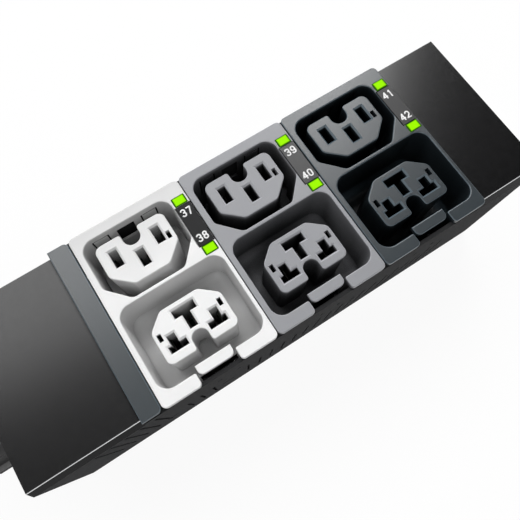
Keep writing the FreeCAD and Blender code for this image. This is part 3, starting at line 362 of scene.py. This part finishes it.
channel_coat = powder_coat("matt_powder_coated_steel_channel", "2e2e2f", peel=0.30, pit=0.35, low=0.70,
                           high=0.85, gloss=0.04)
# The covers carry the painted highlight of bright metal along their rounded edges.
cover_coat = powder_coat("satin_powder_coated_steel_cover", "101011", peel=0.015, pit=0.02, low=0.23,
                         high=0.27, bright_edge_metal=1.0)
print("coats:", channel_coat.name, cover_coat.name)

# %% [markdown]
# ## Metals
# The screws, nuts, springs and studs are zinc-plated steel, and the contacts and bus bars are tinned or bare
# brass. Plating is not a mirror: it has a cloudy crystal bloom a few millimetres across and fine tumbling
# marks. Both are metals, so they keep the default index and take their colour from the reflection. One recipe
# of two tones, a bloom and a span of roughness makes all four.

# %% Zinc-plated steel and stamped brass
def plated(name, pale, dark, bloom, low, high):
    """A metal skin: the bloom drifts between two tones, and the fine marks spread the highlight."""
    made, tree, place = new_finish(name)
    cloud = add(tree, "ShaderNodeTexNoise", {"Vector": place, "Scale": per_mm(bloom), "Detail": 4.0})
    marks = add(tree, "ShaderNodeTexNoise", {"Vector": place, "Scale": per_mm(0.4), "Detail": 3.0})
    colour = add(tree, "ShaderNodeMix", {0: cloud.outputs["Fac"], 6: linear(dark), 7: linear(pale)},
                 data_type="RGBA")
    sheen = add(tree, "ShaderNodeMapRange", {"Value": marks.outputs["Fac"], "From Min": 0.3, "From Max": 0.7,
                                             "To Min": low, "To Max": high})
    relief = add(tree, "ShaderNodeBump", {
        "Height": marks.outputs["Fac"], "Strength": 0.15, "Distance": 0.02 * MM})
    body = add(tree, "ShaderNodeBsdfPrincipled", {
        "Base Color": colour.outputs[2], "Metallic": 1.0, "Roughness": sheen.outputs["Result"],
        "Normal": relief.outputs["Normal"]})
    add(tree, "ShaderNodeOutputMaterial", {"Surface": body.outputs[0]})
    return made


zinc = plated("zinc_plated_steel", "c9ccd0", "a2a6ab", 2.5, 0.24, 0.40)
brass = plated("stamped_brass", "d8bd7c", "b4924e", 4.0, 0.22, 0.36)
# The contacts are tinned brass, coloured far darker than tin as painted shade, so almost no light comes back out
# of the slots.
dark_tin_shade = plated("tinned_brass_darkened_as_shade", "4c4b49", "353432", 1.5, 0.45, 0.60)
# Pins and leaf springs of the latches are blackened steel, and their black also paints the shade in the gap round
# a latch.
black_oxide_gap_shade = plated("black_oxide_steel", "2b2b2c", "1c1c1d", 1.5, 0.40, 0.55)
print("metals:", zinc.name, brass.name, dark_tin_shade.name, black_oxide_gap_shade.name)

# %% [markdown]
# ## The number plates
# Each plate is a printed polycarbonate film on a thin carrier, charcoal with a fine matt screen print. Plain
# black would look like a hole in the face, so a faint dot screen and a little cloudiness break it up. The three
# films are one print and differ only in gloss, set for each plate so that it shows the sheen of its place: a
# painted reflection.

# %% Printed film
def printed_film(name, gloss):
    """Matt screen-printed film: a faint dot screen and some cloud keep it from looking like a hole."""
    made, tree, place = new_finish(name)
    # A screen has about 0.1 mm between its threads. It is drawn at 0.35 mm, because finer does not show.
    dots = add(tree, "ShaderNodeTexVoronoi", {"Vector": place, "Scale": per_mm(0.35), "Randomness": 0.25})
    cloud = add(tree, "ShaderNodeTexNoise", {"Vector": place, "Scale": per_mm(6.0), "Detail": 3.0})
    ink = add(tree, "ShaderNodeMix", {0: cloud.outputs["Fac"], 6: linear("1d1d1e"), 7: linear("252526")},
              data_type="RGBA")
    relief = add(tree, "ShaderNodeBump", {"Height": dots.outputs["Distance"], "Strength": 0.06,
                                          "Distance": 0.01 * MM})
    body = add(tree, "ShaderNodeBsdfPrincipled", {
        "Base Color": ink.outputs[2], "Roughness": 0.45, "IOR": 1.58, "Specular IOR Level": gloss,
        "Normal": relief.outputs["Normal"]})
    add(tree, "ShaderNodeOutputMaterial", {"Surface": body.outputs[0]})
    return made


# One print in three glosses, each set to the light at its plate, as painted reflection.
film = {
    "white": printed_film("screen_printed_film_on_white", 0.1),
    "grey": printed_film("screen_printed_film_on_grey", 0.45),
    "slate": printed_film("screen_printed_film_on_slate", 0.4),
}
print("films:", [made.name for made in film.values()])

# %% [markdown]
# ## Inside: board, blocks, seal and emitters
# These show only through the slots or from the open ends of a part, but they are real pieces and get their own
# finishes: solder mask over copper tracks, glass-filled nylon, nitrile rubber and clear epoxy.

# %% Solder-masked board
board, tree, place = new_finish("solder_masked_glass_epoxy")
# Copper tracks under the mask stand a little proud and paler, in runs 2.5 mm apart.
tracks = add(tree, "ShaderNodeTexBrick", {
    "Vector": place, "Color1": linear("1f5a34"), "Color2": linear("1b4f2e"), "Mortar": linear("153f25"),
    "Scale": per_mm(10.0), "Mortar Size": 0.02, "Brick Width": 0.9, "Row Height": 0.25})
relief = add(tree, "ShaderNodeBump", {"Height": tracks.outputs["Fac"], "Strength": 0.2, "Distance": 0.03 * MM},
             invert=True)
body = add(tree, "ShaderNodeBsdfPrincipled", {
    "Base Color": tracks.outputs["Color"], "Roughness": 0.32, "IOR": 1.5, "Normal": relief.outputs["Normal"]})
add(tree, "ShaderNodeOutputMaterial", {"Surface": body.outputs[0]})
print("board:", board.name)

# %% Nylon, rubber and epoxy share the moulded recipe
nylon = moulded_abs("moulded_black_nylon", "1d1d1e", 0.45, 0.60)
rubber = moulded_abs("moulded_nitrile_rubber", "161616", 0.65, 0.80)
epoxy = moulded_abs("cast_clear_epoxy", "d9e4d2", 0.10, 0.18)
print("mouldings:", nylon.name, rubber.name, epoxy.name)

# %% [markdown]
# ## The status lights
# A green lens caps each light pipe. Lit from below, it is bright in the middle and dark green at its bevelled
# rim, where the light slips past. An emission that follows the distance from the middle gives that look from any
# side. The caps carry their own place on the lens as an attribute, written when they are made, so all six look
# alike. The rim laps over the edge of the window and hides its gap.

# %% Lit green lens
lens, tree, _ = new_finish("moulded_green_polycarbonate_lens")
spot = add(tree, "ShaderNodeAttribute", attribute_name="lens_place").outputs["Vector"]
spot = add(tree, "ShaderNodeSeparateXYZ", {0: add(tree, "ShaderNodeVectorMath", {0: spot},
                                                  operation="ABSOLUTE").outputs[0]})
ring = add(tree, "ShaderNodeMath", {0: spot.outputs["X"], 1: spot.outputs["Y"]}, operation="MAXIMUM")
ring = add(tree, "ShaderNodeValToRGB", {"Fac": ring.outputs[0]})
ring.color_ramp.elements[0].position, ring.color_ramp.elements[0].color = 0.55, linear("a4ff00")
ring.color_ramp.elements[1].position, ring.color_ramp.elements[1].color = 0.84, linear("2a5c02")
warm = ring.color_ramp.elements.new(0.74)
warm.color = linear("98f200")
body = add(tree, "ShaderNodeBsdfPrincipled", {
    "Base Color": linear("0c2002"), "Roughness": 0.3, "IOR": 1.58, "Specular IOR Level": 0.01,
    "Emission Color": ring.outputs["Color"], "Emission Strength": 0.95})
add(tree, "ShaderNodeOutputMaterial", {"Surface": body.outputs[0]})

pipe, tree, place = new_finish("moulded_green_polycarbonate_pipe")
cloud = add(tree, "ShaderNodeTexNoise", {"Vector": place, "Scale": per_mm(1.5), "Detail": 2.0})
depth = add(tree, "ShaderNodeMix", {0: cloud.outputs["Fac"], 6: linear("2c6a08"), 7: linear("3b850f")},
            data_type="RGBA")
body = add(tree, "ShaderNodeBsdfPrincipled", {"Base Color": depth.outputs[2], "Roughness": 0.2, "IOR": 1.58})
add(tree, "ShaderNodeOutputMaterial", {"Surface": body.outputs[0]})
print("lights:", lens.name, pipe.name)

# %% [markdown]
# ## Finishes onto the solids
# Every solid keeps its shape and only its material changes. They could be dressed one by one, but the record
# names a finish slot for each node, so one table from slot to material dresses them all, and nothing is missed.
# Only the contacts and the latch pins and springs, made dark inside as painted shade, are named one by one.

# %% Dress every node
finish_of = {
    "chassis_paint": channel_coat, "cover_paint": cover_coat, "slate_plastic": abs_finish["slate"],
    "white_plastic": abs_finish["white"], "grey_plastic": abs_finish["grey"], "number_plate": film["grey"],
    "green_lens": pipe, "zinc_steel": zinc, "contact_brass": brass, "board_green": board,
    "black_plastic": nylon, "clear_emitter": epoxy, "seal_rubber": rubber,
}
slot_of = {entry["node"]: entry["material_slot"] for entry in frame["record"]["subparts"]}
special = {node: dark_tin_shade for node in ("line_contacts", "neutral_contacts", "earth_contacts")}
special.update({node: black_oxide_gap_shade for node in ("latch_pins", "latch_springs")})
for node, thing in frame["nodes"].items():
    thing.data.materials.clear()
    thing.data.materials.append(special.get(node) or finish_of[slot_of[node]])
print("dressed:", len(frame["nodes"]), "nodes in", len(finish_of), "finishes")

# %% [markdown]
# ## Finding the separate solids of a node
# One node can hold several like pieces, such as the two light pipes of a module or six screws. Their places
# could be typed in, but then they would not follow the model. Joining the loose triangles of a copy and walking
# from vertex to vertex finds each piece and its box.

# %% Boxes of a node's pieces
def pieces_of(node):
    """The lowest and highest corner of each separate solid of a node."""
    shell = bmesh.new()
    shell.from_mesh(frame["nodes"][node].data)
    bmesh.ops.remove_doubles(shell, verts=shell.verts, dist=0.002 * MM)
    left, boxes = set(shell.verts), []
    while left:
        queue, found = [left.pop()], []
        while queue:
            vert = queue.pop()
            found.append(vert.co.copy())
            near = {edge.other_vert(vert) for edge in vert.link_edges} & left
            left -= near
            queue.extend(near)
        boxes.append(tuple(Vector(pick(v[i] for v in found) for i in range(3)) for pick in (min, max)))
    shell.free()
    return sorted(boxes, key=lambda pair: tuple(round(v, 5) for v in pair[0]))


lens_boxes = [pair for colour in COLOURS for pair in pieces_of("status_lenses_" + colour)]
screw_boxes = pieces_of("back_screws")
nut_boxes = pieces_of("mount_nuts")
print("light pipes", len(lens_boxes), "back screws", len(screw_boxes), "rear nuts", len(nut_boxes))

# %% [markdown]
# ## Pieces that repeat
# The lens caps, plates, screws, threads and digits each repeat one rule at known points, so Geometry Nodes make
# them: a tree draws the shape once from named sizes, sets it on the points, and turns the copies into real mesh.
# A plain loop that copies meshes would also do, but with a tree the sizes stay in one place and can be tried by
# hand. Three helpers start a tree, end it and run it.

# %% Grow a tree on points
def new_tree(name, sizes):
    """A geometry tree with the points, the named sizes and a material as its inputs."""
    tree = bpy.data.node_groups.new(name, "GeometryNodeTree")
    tree.interface.new_socket("Points", in_out="INPUT", socket_type="NodeSocketGeometry")
    for label in sizes:
        tree.interface.new_socket(label, in_out="INPUT", socket_type="NodeSocketFloat")
    tree.interface.new_socket("Finish", in_out="INPUT", socket_type="NodeSocketMaterial")
    tree.interface.new_socket("Mesh", in_out="OUTPUT", socket_type="NodeSocketGeometry")
    return tree, add(tree, "NodeGroupInput").outputs


def end_tree(tree, given, copies):
    """Ends a tree: the copies as real mesh, in the given finish."""
    real = add(tree, "GeometryNodeRealizeInstances", {"Geometry": copies})
    coated = add(tree, "GeometryNodeSetMaterial", {"Geometry": real.outputs[0], "Material": given["Finish"]})
    add(tree, "NodeGroupOutput", {"Mesh": coated.outputs[0]})


def grow(name, tree, points, finish, sizes, edges=(), **marks):
    """Runs a tree on points, each with its marks, and leaves a plain mesh object at the origin."""
    seeds = bpy.data.meshes.new(name + "_points")
    seeds.from_pydata(points, edges, [])
    for label, values in marks.items():
        seeds.attributes.new(label, "FLOAT", "POINT").data.foreach_set("value", values)
    grown = bpy.data.objects.new(name, seeds)
    bpy.context.scene.collection.objects.link(grown)
    modifier = grown.modifiers.new("grow", "NODES")
    modifier.node_group = tree
    given = dict(sizes, Finish=finish)
    for socket in tree.interface.items_tree:
        if socket.in_out == "INPUT" and socket.name in given:
            modifier[socket.identifier] = given[socket.name]
    bpy.context.view_layer.update()
    plain = bpy.data.meshes.new_from_object(grown.evaluated_get(bpy.context.evaluated_depsgraph_get()))
    grown.modifiers.clear()
    grown.data = plain
    print(name, "faces:", len(plain.polygons), "on", len(points), "points")
    return grown


print("points so far:", len(lens_boxes) + len(screw_boxes) + len(nut_boxes))

# %% [markdown]
# ## Lens caps and number plates
# A lens cap is a small tile with rounded corners and a bevelled rim, and a number plate is a longer, flatter one.
# A cube with a bevel modifier would do for each. The tree draws the outline as a curve, rounds it, fills it and
# pulls it up twice, drawn in the second time, so the same six sizes give both. The plates stop a little short of
# their pockets, and the gap shows as the thin dark line that a fitted plate has.

# %% A rounded tile with a bevelled rim
tile_sizes = ("Width", "Length", "Corner", "Skirt", "Bevel", "Rim")
tree, given = new_tree("rounded_tile", tile_sizes)
outline = add(tree, "GeometryNodeCurvePrimitiveQuadrilateral", {
    "Width": given["Width"], "Height": given["Length"]})
rounded = add(tree, "GeometryNodeFilletCurve", {
    "Curve": outline.outputs[0], "Radius": given["Corner"], "Count": 4}, mode="POLY")
base = add(tree, "GeometryNodeFillCurve", {"Curve": rounded.outputs[0]}, mode="NGONS")
wall = add(tree, "GeometryNodeExtrudeMesh", {"Mesh": base.outputs[0], "Offset Scale": given["Skirt"],
                                             "Individual": False})
slope = add(tree, "GeometryNodeExtrudeMesh", {"Mesh": wall.outputs["Mesh"], "Selection": wall.outputs["Top"],
                                              "Offset Scale": given["Bevel"], "Individual": False})
size = add(tree, "ShaderNodeCombineXYZ", {"X": given["Width"], "Y": given["Length"], "Z": 1.0})
rim = add(tree, "ShaderNodeCombineXYZ", {"X": given["Rim"], "Y": given["Rim"]})
lost = add(tree, "ShaderNodeVectorMath", {0: rim.outputs[0], 1: size.outputs[0]}, operation="DIVIDE")
kept = add(tree, "ShaderNodeVectorMath", {0: lost.outputs[0], 1: (-2.0, -2.0, 0.0), 2: (1.0, 1.0, 1.0)},
           operation="MULTIPLY_ADD")
where = add(tree, "GeometryNodeInputPosition").outputs[0]
drawn_in = add(tree, "ShaderNodeVectorMath", {0: where, 1: kept.outputs[0]}, operation="MULTIPLY")
crown = add(tree, "GeometryNodeSetPosition", {
    "Geometry": slope.outputs["Mesh"], "Selection": slope.outputs["Top"], "Position": drawn_in.outputs[0]})
under = add(tree, "GeometryNodeFlipFaces", {"Mesh": base.outputs[0]})
shell = add(tree, "GeometryNodeJoinGeometry")
tree.links.new(crown.outputs[0], shell.inputs[0])
tree.links.new(under.outputs[0], shell.inputs[0])
closed = add(tree, "GeometryNodeMergeByDistance", {"Geometry": shell.outputs[0], "Distance": 0.001 * MM})
half = add(tree, "ShaderNodeVectorMath", {0: size.outputs[0], 1: (0.5, 0.5, 1.0)}, operation="MULTIPLY")
share = add(tree, "ShaderNodeVectorMath", {0: where, 1: half.outputs[0]}, operation="DIVIDE")
marked = add(tree, "GeometryNodeStoreNamedAttribute", {
    "Geometry": closed.outputs[0], "Name": "lens_place", "Value": share.outputs[0]}, data_type="FLOAT_VECTOR")
tiles = add(tree, "GeometryNodeInstanceOnPoints", {"Points": given["Points"], "Instance": marked.outputs[0]})
end_tree(tree, given, tiles.outputs[0])
tile_tree = tree
print("tile nodes:", len(tile_tree.nodes))

# %% Lens caps on the light pipes
tops = [((lo.x + hi.x) / 2, (lo.y + hi.y) / 2, hi.z) for lo, hi in lens_boxes]
lens_caps = grow("lens_caps", tile_tree, tops, lens, {
    "Width": 4.4 * MM, "Length": 3.12 * MM, "Corner": 0.3 * MM, "Skirt": 0.06 * MM, "Bevel": 0.16 * MM,
    "Rim": 0.3 * MM})
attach(lens_caps, "unit")

# %% Number plates with a shadow gap
GAP_LEFT, GAP_RIGHT, GAP_ENDS, PLATE_BEVEL = 0.24 * MM, 0.12 * MM, 0.12 * MM, 0.08 * MM
for colour in COLOURS:
    lo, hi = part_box("number_plate_" + colour)
    seat = [((lo.x + GAP_LEFT + hi.x - GAP_RIGHT) / 2, (lo.y + hi.y) / 2, lo.z)]
    plate = grow("film_plate_" + colour, tile_tree, seat, film[colour], {
        "Width": hi.x - lo.x - GAP_LEFT - GAP_RIGHT, "Length": hi.y - lo.y - 2 * GAP_ENDS, "Corner": 0.2 * MM,
        "Skirt": hi.z - lo.z - PLATE_BEVEL, "Bevel": PLATE_BEVEL, "Rim": PLATE_BEVEL})
    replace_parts(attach(plate, "unit"), "number_plate_" + colour)

# %% [markdown]
# ## Coves in the lower wells
# Where the walls of a lower well meet its floor, the moulding runs round in a soft hollow, a cove, so the shade
# slides from wall to floor with no line. A cove is a stack of rounded rectangles, each drawn in a little more and
# a little lower, joined loop to loop. A sweep would also do, but its corners pinch where they are tighter than
# the section, and a stack keeps them clean.

# %% A rounded loop
CORNER_STEPS = 8


def rounded_loop(x0, y0, x1, y1, radius, height):
    """Points of a rounded rectangle, anticlockwise."""
    loop = []
    for turn, (cx, cy) in enumerate(((x1 - radius, y1 - radius), (x0 + radius, y1 - radius),
                                     (x0 + radius, y0 + radius), (x1 - radius, y0 + radius))):
        for step in range(CORNER_STEPS + 1):
            angle = math.pi / 2 * (turn + step / CORNER_STEPS)
            loop.append((cx + radius * math.cos(angle), cy + radius * math.sin(angle), height))
    return loop


print("points in a loop:", len(rounded_loop(0.0, 0.0, 2.0, 1.0, 0.2, 0.0)))

# %% Loops stacked into coves
# Left, low, right and upper wall of a lower well, from the lower left corner of its module front.
WELL = [side * MM for side in (1.75, 3.95, 36.05, 30.5)]
WELL_DEEP, WELL_ROUND, COVE, ARC_STEPS = 20.0 * MM, 4.0 * MM, 3.9 * MM, 16
# The cove keeps this far off the wall and the floor, so no two faces lie in one plane.
OFF_WALL, OFF_FLOOR = 0.015 * MM, 0.01 * MM
arc = [math.pi / 2 * step / ARC_STEPS for step in range(ARC_STEPS + 1)]
# Each point of the section: how far in from the wall, and how high above the floor.
section = [(OFF_WALL, OFF_FLOOR)]
section += [(OFF_WALL + COVE * (1 - math.cos(a)), OFF_FLOOR + COVE * (1 - math.sin(a))) for a in arc]
for colour in COLOURS:
    lo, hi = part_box("module_front_" + colour)
    x0, y0, x1, y1 = lo.x + WELL[0], lo.y + WELL[1], lo.x + WELL[2], lo.y + WELL[3]
    loops = [rounded_loop(x0 + inset, y0 + inset, x1 - inset, y1 - inset, WELL_ROUND - inset,
                          hi.z - WELL_DEEP + rise) for inset, rise in section]
    count = len(loops[0])
    faces = []
    for k in range(len(loops)):
        for i in range(count):
            j, n = (i + 1) % count, (k + 1) % len(loops)
            faces.append((k * count + i, k * count + j, n * count + j, n * count + i))
    mesh = bpy.data.meshes.new("well_cove_" + colour)
    mesh.from_pydata([point for loop in loops for point in loop], [], faces)
    mesh.validate()
    shaped = bmesh.new()
    shaped.from_mesh(mesh)
    bmesh.ops.recalc_face_normals(shaped, faces=shaped.faces)
    for face in shaped.faces:
        face.smooth = True
    shaped.to_mesh(mesh)
    shaped.free()
    mesh.set_sharp_from_angle(angle=math.radians(40))
    mesh.materials.append(abs_finish[colour])
    cove = bpy.data.objects.new("well_cove_" + colour, mesh)
    bpy.context.scene.collection.objects.link(cove)
    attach(cove, "unit")
    print(cove.name, "faces:", len(mesh.polygons))

# %% [markdown]
# ## Back screws and rear threads
# The sheet steel is held from behind by low screws with a hexagon socket, and the rear nuts carry an M5 thread.
# The solids give the heads and the bores, and cutting every socket and thread there would make them heavy. A
# boolean in the tree cuts the socket, and a helix swept with a three-sided section makes the thread, which is how
# a real one is described too.

# %% Socket screws in place of the plain ones
screw_sizes = {"Head radius": (screw_boxes[0][1].x - screw_boxes[0][0].x) / 2, "Head depth": 1.2 * MM,
               "Shank radius": 1.45 * MM, "Socket radius": 1.3 * MM, "Socket depth": 0.8 * MM}
tree, given = new_tree("socket_screw", screw_sizes)


def turned(sides, radius, depth, low):
    """A straight-sided cylinder from height low upwards."""
    rod = add(tree, "GeometryNodeMeshCylinder", {"Vertices": sides, "Radius": radius, "Depth": depth})
    middle = add(tree, "ShaderNodeMath", {0: depth, 1: 0.5, 2: low}, operation="MULTIPLY_ADD")
    up = add(tree, "ShaderNodeCombineXYZ", {"Z": middle.outputs[0]})
    set_up = add(tree, "GeometryNodeTransform", {"Geometry": rod.outputs[0], "Translation": up.outputs[0]})
    return set_up.outputs[0]


head = turned(40, given["Head radius"], given["Head depth"], 0.0)
socket = turned(6, given["Socket radius"], given["Socket depth"], -0.05 * MM)
bored = add(tree, "GeometryNodeMeshBoolean", {"Mesh 1": head, "Mesh 2": socket}, operation="DIFFERENCE")
shank = turned(24, given["Shank radius"], 1.0, 0.0)
reach = add(tree, "GeometryNodeInputNamedAttribute", {"Name": "reach"}, data_type="FLOAT")
stretch = add(tree, "ShaderNodeCombineXYZ", {"X": 1.0, "Y": 1.0, "Z": reach.outputs["Attribute"]})
raised = add(tree, "GeometryNodeSetPosition", {
    "Geometry": given["Points"],
    "Offset": add(tree, "ShaderNodeCombineXYZ", {"Z": given["Head depth"]}).outputs[0]})
shanks = add(tree, "GeometryNodeInstanceOnPoints", {"Points": raised.outputs[0], "Instance": shank,
                                                    "Scale": stretch.outputs[0]})
heads = add(tree, "GeometryNodeInstanceOnPoints", {"Points": given["Points"], "Instance": bored.outputs[0]})
screws = add(tree, "GeometryNodeJoinGeometry")
tree.links.new(heads.outputs[0], screws.inputs[0])
tree.links.new(shanks.outputs[0], screws.inputs[0])
end_tree(tree, given, screws.outputs[0])
feet = [((lo.x + hi.x) / 2, (lo.y + hi.y) / 2, lo.z) for lo, hi in screw_boxes]
reaches = [hi.z - lo.z - screw_sizes["Head depth"] for lo, hi in screw_boxes]
socket_screws = grow("socket_screws", tree, feet, zinc, screw_sizes, reach=reaches)
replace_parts(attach(socket_screws, "unit"), "back_screws")

# %% Threads in the rear nuts
LEAD_IN = 0.4 * MM
thread_sizes = {"Pitch": 0.8 * MM, "Length": nut_boxes[0][1].z - nut_boxes[0][0].z - 2 * LEAD_IN,
                "Bore": 2.46 * MM, "Ridge": 0.42 * MM}
tree, given = new_tree("nut_thread", thread_sizes)
turns = add(tree, "ShaderNodeMath", {0: given["Length"], 1: given["Pitch"]}, operation="DIVIDE")
helix = add(tree, "GeometryNodeCurveSpiral", {"Resolution": 28, "Rotations": turns.outputs[0],
                                              "Start Radius": given["Bore"], "End Radius": given["Bore"],
                                              "Height": given["Length"]})
ridge = add(tree, "GeometryNodeCurvePrimitiveCircle", {"Resolution": 3, "Radius": given["Ridge"]},
            mode="RADIUS")
swept = add(tree, "GeometryNodeCurveToMesh", {"Curve": helix.outputs[0], "Profile Curve": ridge.outputs[0],
                                              "Fill Caps": True})
threads = add(tree, "GeometryNodeInstanceOnPoints", {"Points": given["Points"], "Instance": swept.outputs[0]})
end_tree(tree, given, threads.outputs[0])
mouths = [((lo.x + hi.x) / 2, (lo.y + hi.y) / 2, lo.z + LEAD_IN) for lo, hi in nut_boxes]
nut_threads = grow("nut_threads", tree, mouths, zinc, thread_sizes)
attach(nut_threads, "unit")

# %% [markdown]
# ## The outlet numbers
# White numbers are printed on the plates, one beside each outlet, in a bold plain letter. Blender's own font is
# too thin, and pushing its outline outwards fills the hole of the four. So each digit is drawn as pen strokes: a
# few points, and at each point how far the corner is rounded. A tree rounds the corners, sweeps a flat pen along
# the strokes and joins what overlaps, as a sign maker's plotter does.

# %% White printing ink
white_ink, tree, place = new_finish("screen_printed_white_ink")
cloud = add(tree, "ShaderNodeTexNoise", {"Vector": place, "Scale": per_mm(0.6), "Detail": 2.0})
cover = add(tree, "ShaderNodeMix", {0: cloud.outputs["Fac"], 6: linear("e2e2e2"), 7: linear("f2f2f2")},
            data_type="RGBA")
body = add(tree, "ShaderNodeBsdfPrincipled", {"Base Color": cover.outputs[2], "Roughness": 0.5, "IOR": 1.5})
add(tree, "ShaderNodeOutputMaterial", {"Surface": body.outputs[0]})
print("ink:", white_ink.name)

# %% The pen strokes of the digits
WIDE, TALL = 1.15, 2.2
WAIST = 0.53 * TALL
# Each stroke: closed or not, then points of x, y and corner rounding, in mm from the digit's lower left.
STROKES = {
    "0": [(True, [(0, 0, 0.57), (WIDE, 0, 0.57), (WIDE, TALL, 0.57), (0, TALL, 0.57)])],
    "1": [(False, [(0.2, TALL - 0.5, 0), (0.72, TALL, 0.02), (0.72, -0.25, 0)])],
    "2": [(False, [(0, TALL - 0.6, 0), (0, TALL, 0.55), (WIDE, TALL, 0.57), (WIDE, WAIST, 0.6), (0, 0, 0.02),
                   (WIDE + 0.2, 0, 0)])],
    "3": [(False, [(0, TALL - 0.45, 0), (0, TALL, 0.5), (WIDE, TALL, 0.5), (WIDE, WAIST, 0.45),
                   (0.4, WAIST, 0)]),
          (False, [(0.4, WAIST, 0), (WIDE, WAIST, 0.5), (WIDE, 0, 0.55), (0, 0, 0.55), (0, 0.5, 0)])],
    "4": [(False, [(0.9, -0.25, 0), (0.9, TALL, 0.02), (-0.1, 0.55, 0.02), (WIDE + 0.25, 0.55, 0)])],
    "7": [(False, [(-0.1, TALL, 0), (WIDE, TALL, 0.02), (0.35, -0.25, 0)])],
    "8": [(True, [(0.06, WAIST, 0.5), (WIDE - 0.06, WAIST, 0.5), (WIDE - 0.06, TALL, 0.5), (0.06, TALL, 0.5)]),
          (True, [(0, 0, 0.55), (WIDE, 0, 0.55), (WIDE, WAIST, 0.55), (0, WAIST, 0.55)])],
    "9": [(True, [(0, 0.4 * TALL, 0.57), (WIDE, 0.4 * TALL, 0.57), (WIDE, TALL, 0.57), (0, TALL, 0.57)]),
          (False, [(WIDE, 0.7 * TALL, 0), (WIDE, 0, 0.57), (0, 0, 0.5), (0, 0.45, 0)])],
}
print("digits drawn:", "".join(STROKES))

# %% Pen tree
pen_sizes = {"Pen": 0.47 * MM, "Ink": 0.05 * MM}
tree, given = new_tree("pen_strokes", pen_sizes)
paths = add(tree, "GeometryNodeMeshToCurve", {"Mesh": given["Points"]})
turn = add(tree, "GeometryNodeInputNamedAttribute", {"Name": "turn"}, data_type="FLOAT")
bent = add(tree, "GeometryNodeFilletCurve", {"Curve": paths.outputs[0], "Radius": turn.outputs["Attribute"],
                                             "Count": 6, "Limit Radius": True}, mode="POLY")
level = add(tree, "GeometryNodeSetCurveNormal", {"Curve": bent.outputs[0]}, mode="Z_UP")
nib = add(tree, "GeometryNodeCurvePrimitiveQuadrilateral", {"Width": given["Pen"], "Height": given["Ink"]})
line = add(tree, "GeometryNodeCurveToMesh", {"Curve": level.outputs[0], "Profile Curve": nib.outputs[0],
                                             "Fill Caps": True})
joined = add(tree, "GeometryNodeMeshBoolean", {1: line.outputs[0], "Self Intersection": True},
             operation="UNION", solver="EXACT")
end_tree(tree, given, joined.outputs[0])
pen_tree = tree
print("pen nodes:", len(pen_tree.nodes))

# %% Numbers on the plates
NUMBER_STEP, DIGIT_STEP = 9.3 * MM, 1.95 * MM
points, edges, turns = [], [], []
for colour, pair in zip(COLOURS, (("37", "38"), ("39", "40"), ("41", "42"))):
    low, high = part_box("number_plate_" + colour)
    for text, side in zip(pair, (1, -1)):
        corner = Vector(((low.x + high.x) / 2 - (DIGIT_STEP + WIDE * MM) / 2,
                         (low.y + high.y + side * NUMBER_STEP) / 2 - TALL * MM / 2, high.z))
        for column, digit in enumerate(text):
            for closed, stroke in STROKES[digit]:
                first = len(points)
                for x, y, turn in stroke:
                    points.append(corner + Vector((x * MM + column * DIGIT_STEP, y * MM, 0.0)))
                    turns.append(turn * MM)
                edges += [(k, k + 1) for k in range(first, len(points) - 1)]
                if closed:
                    edges.append((len(points) - 1, first))
outlet_numbers = grow("outlet_numbers", pen_tree, points, white_ink, pen_sizes, edges, turn=turns)
# The union leaves spare points along straight edges. Without them the faces are larger and none is a sliver.
ink = bmesh.new()
ink.from_mesh(outlet_numbers.data)
bmesh.ops.dissolve_degenerate(ink, dist=0.0005 * MM, edges=ink.edges)
bmesh.ops.dissolve_limit(ink, angle_limit=math.radians(1), verts=ink.verts, edges=ink.edges)
bmesh.ops.triangulate(ink, faces=ink.faces)
ink.to_mesh(outlet_numbers.data)
ink.free()
print("faces after the clean-up:", len(outlet_numbers.data.polygons))
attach(outlet_numbers, "unit")
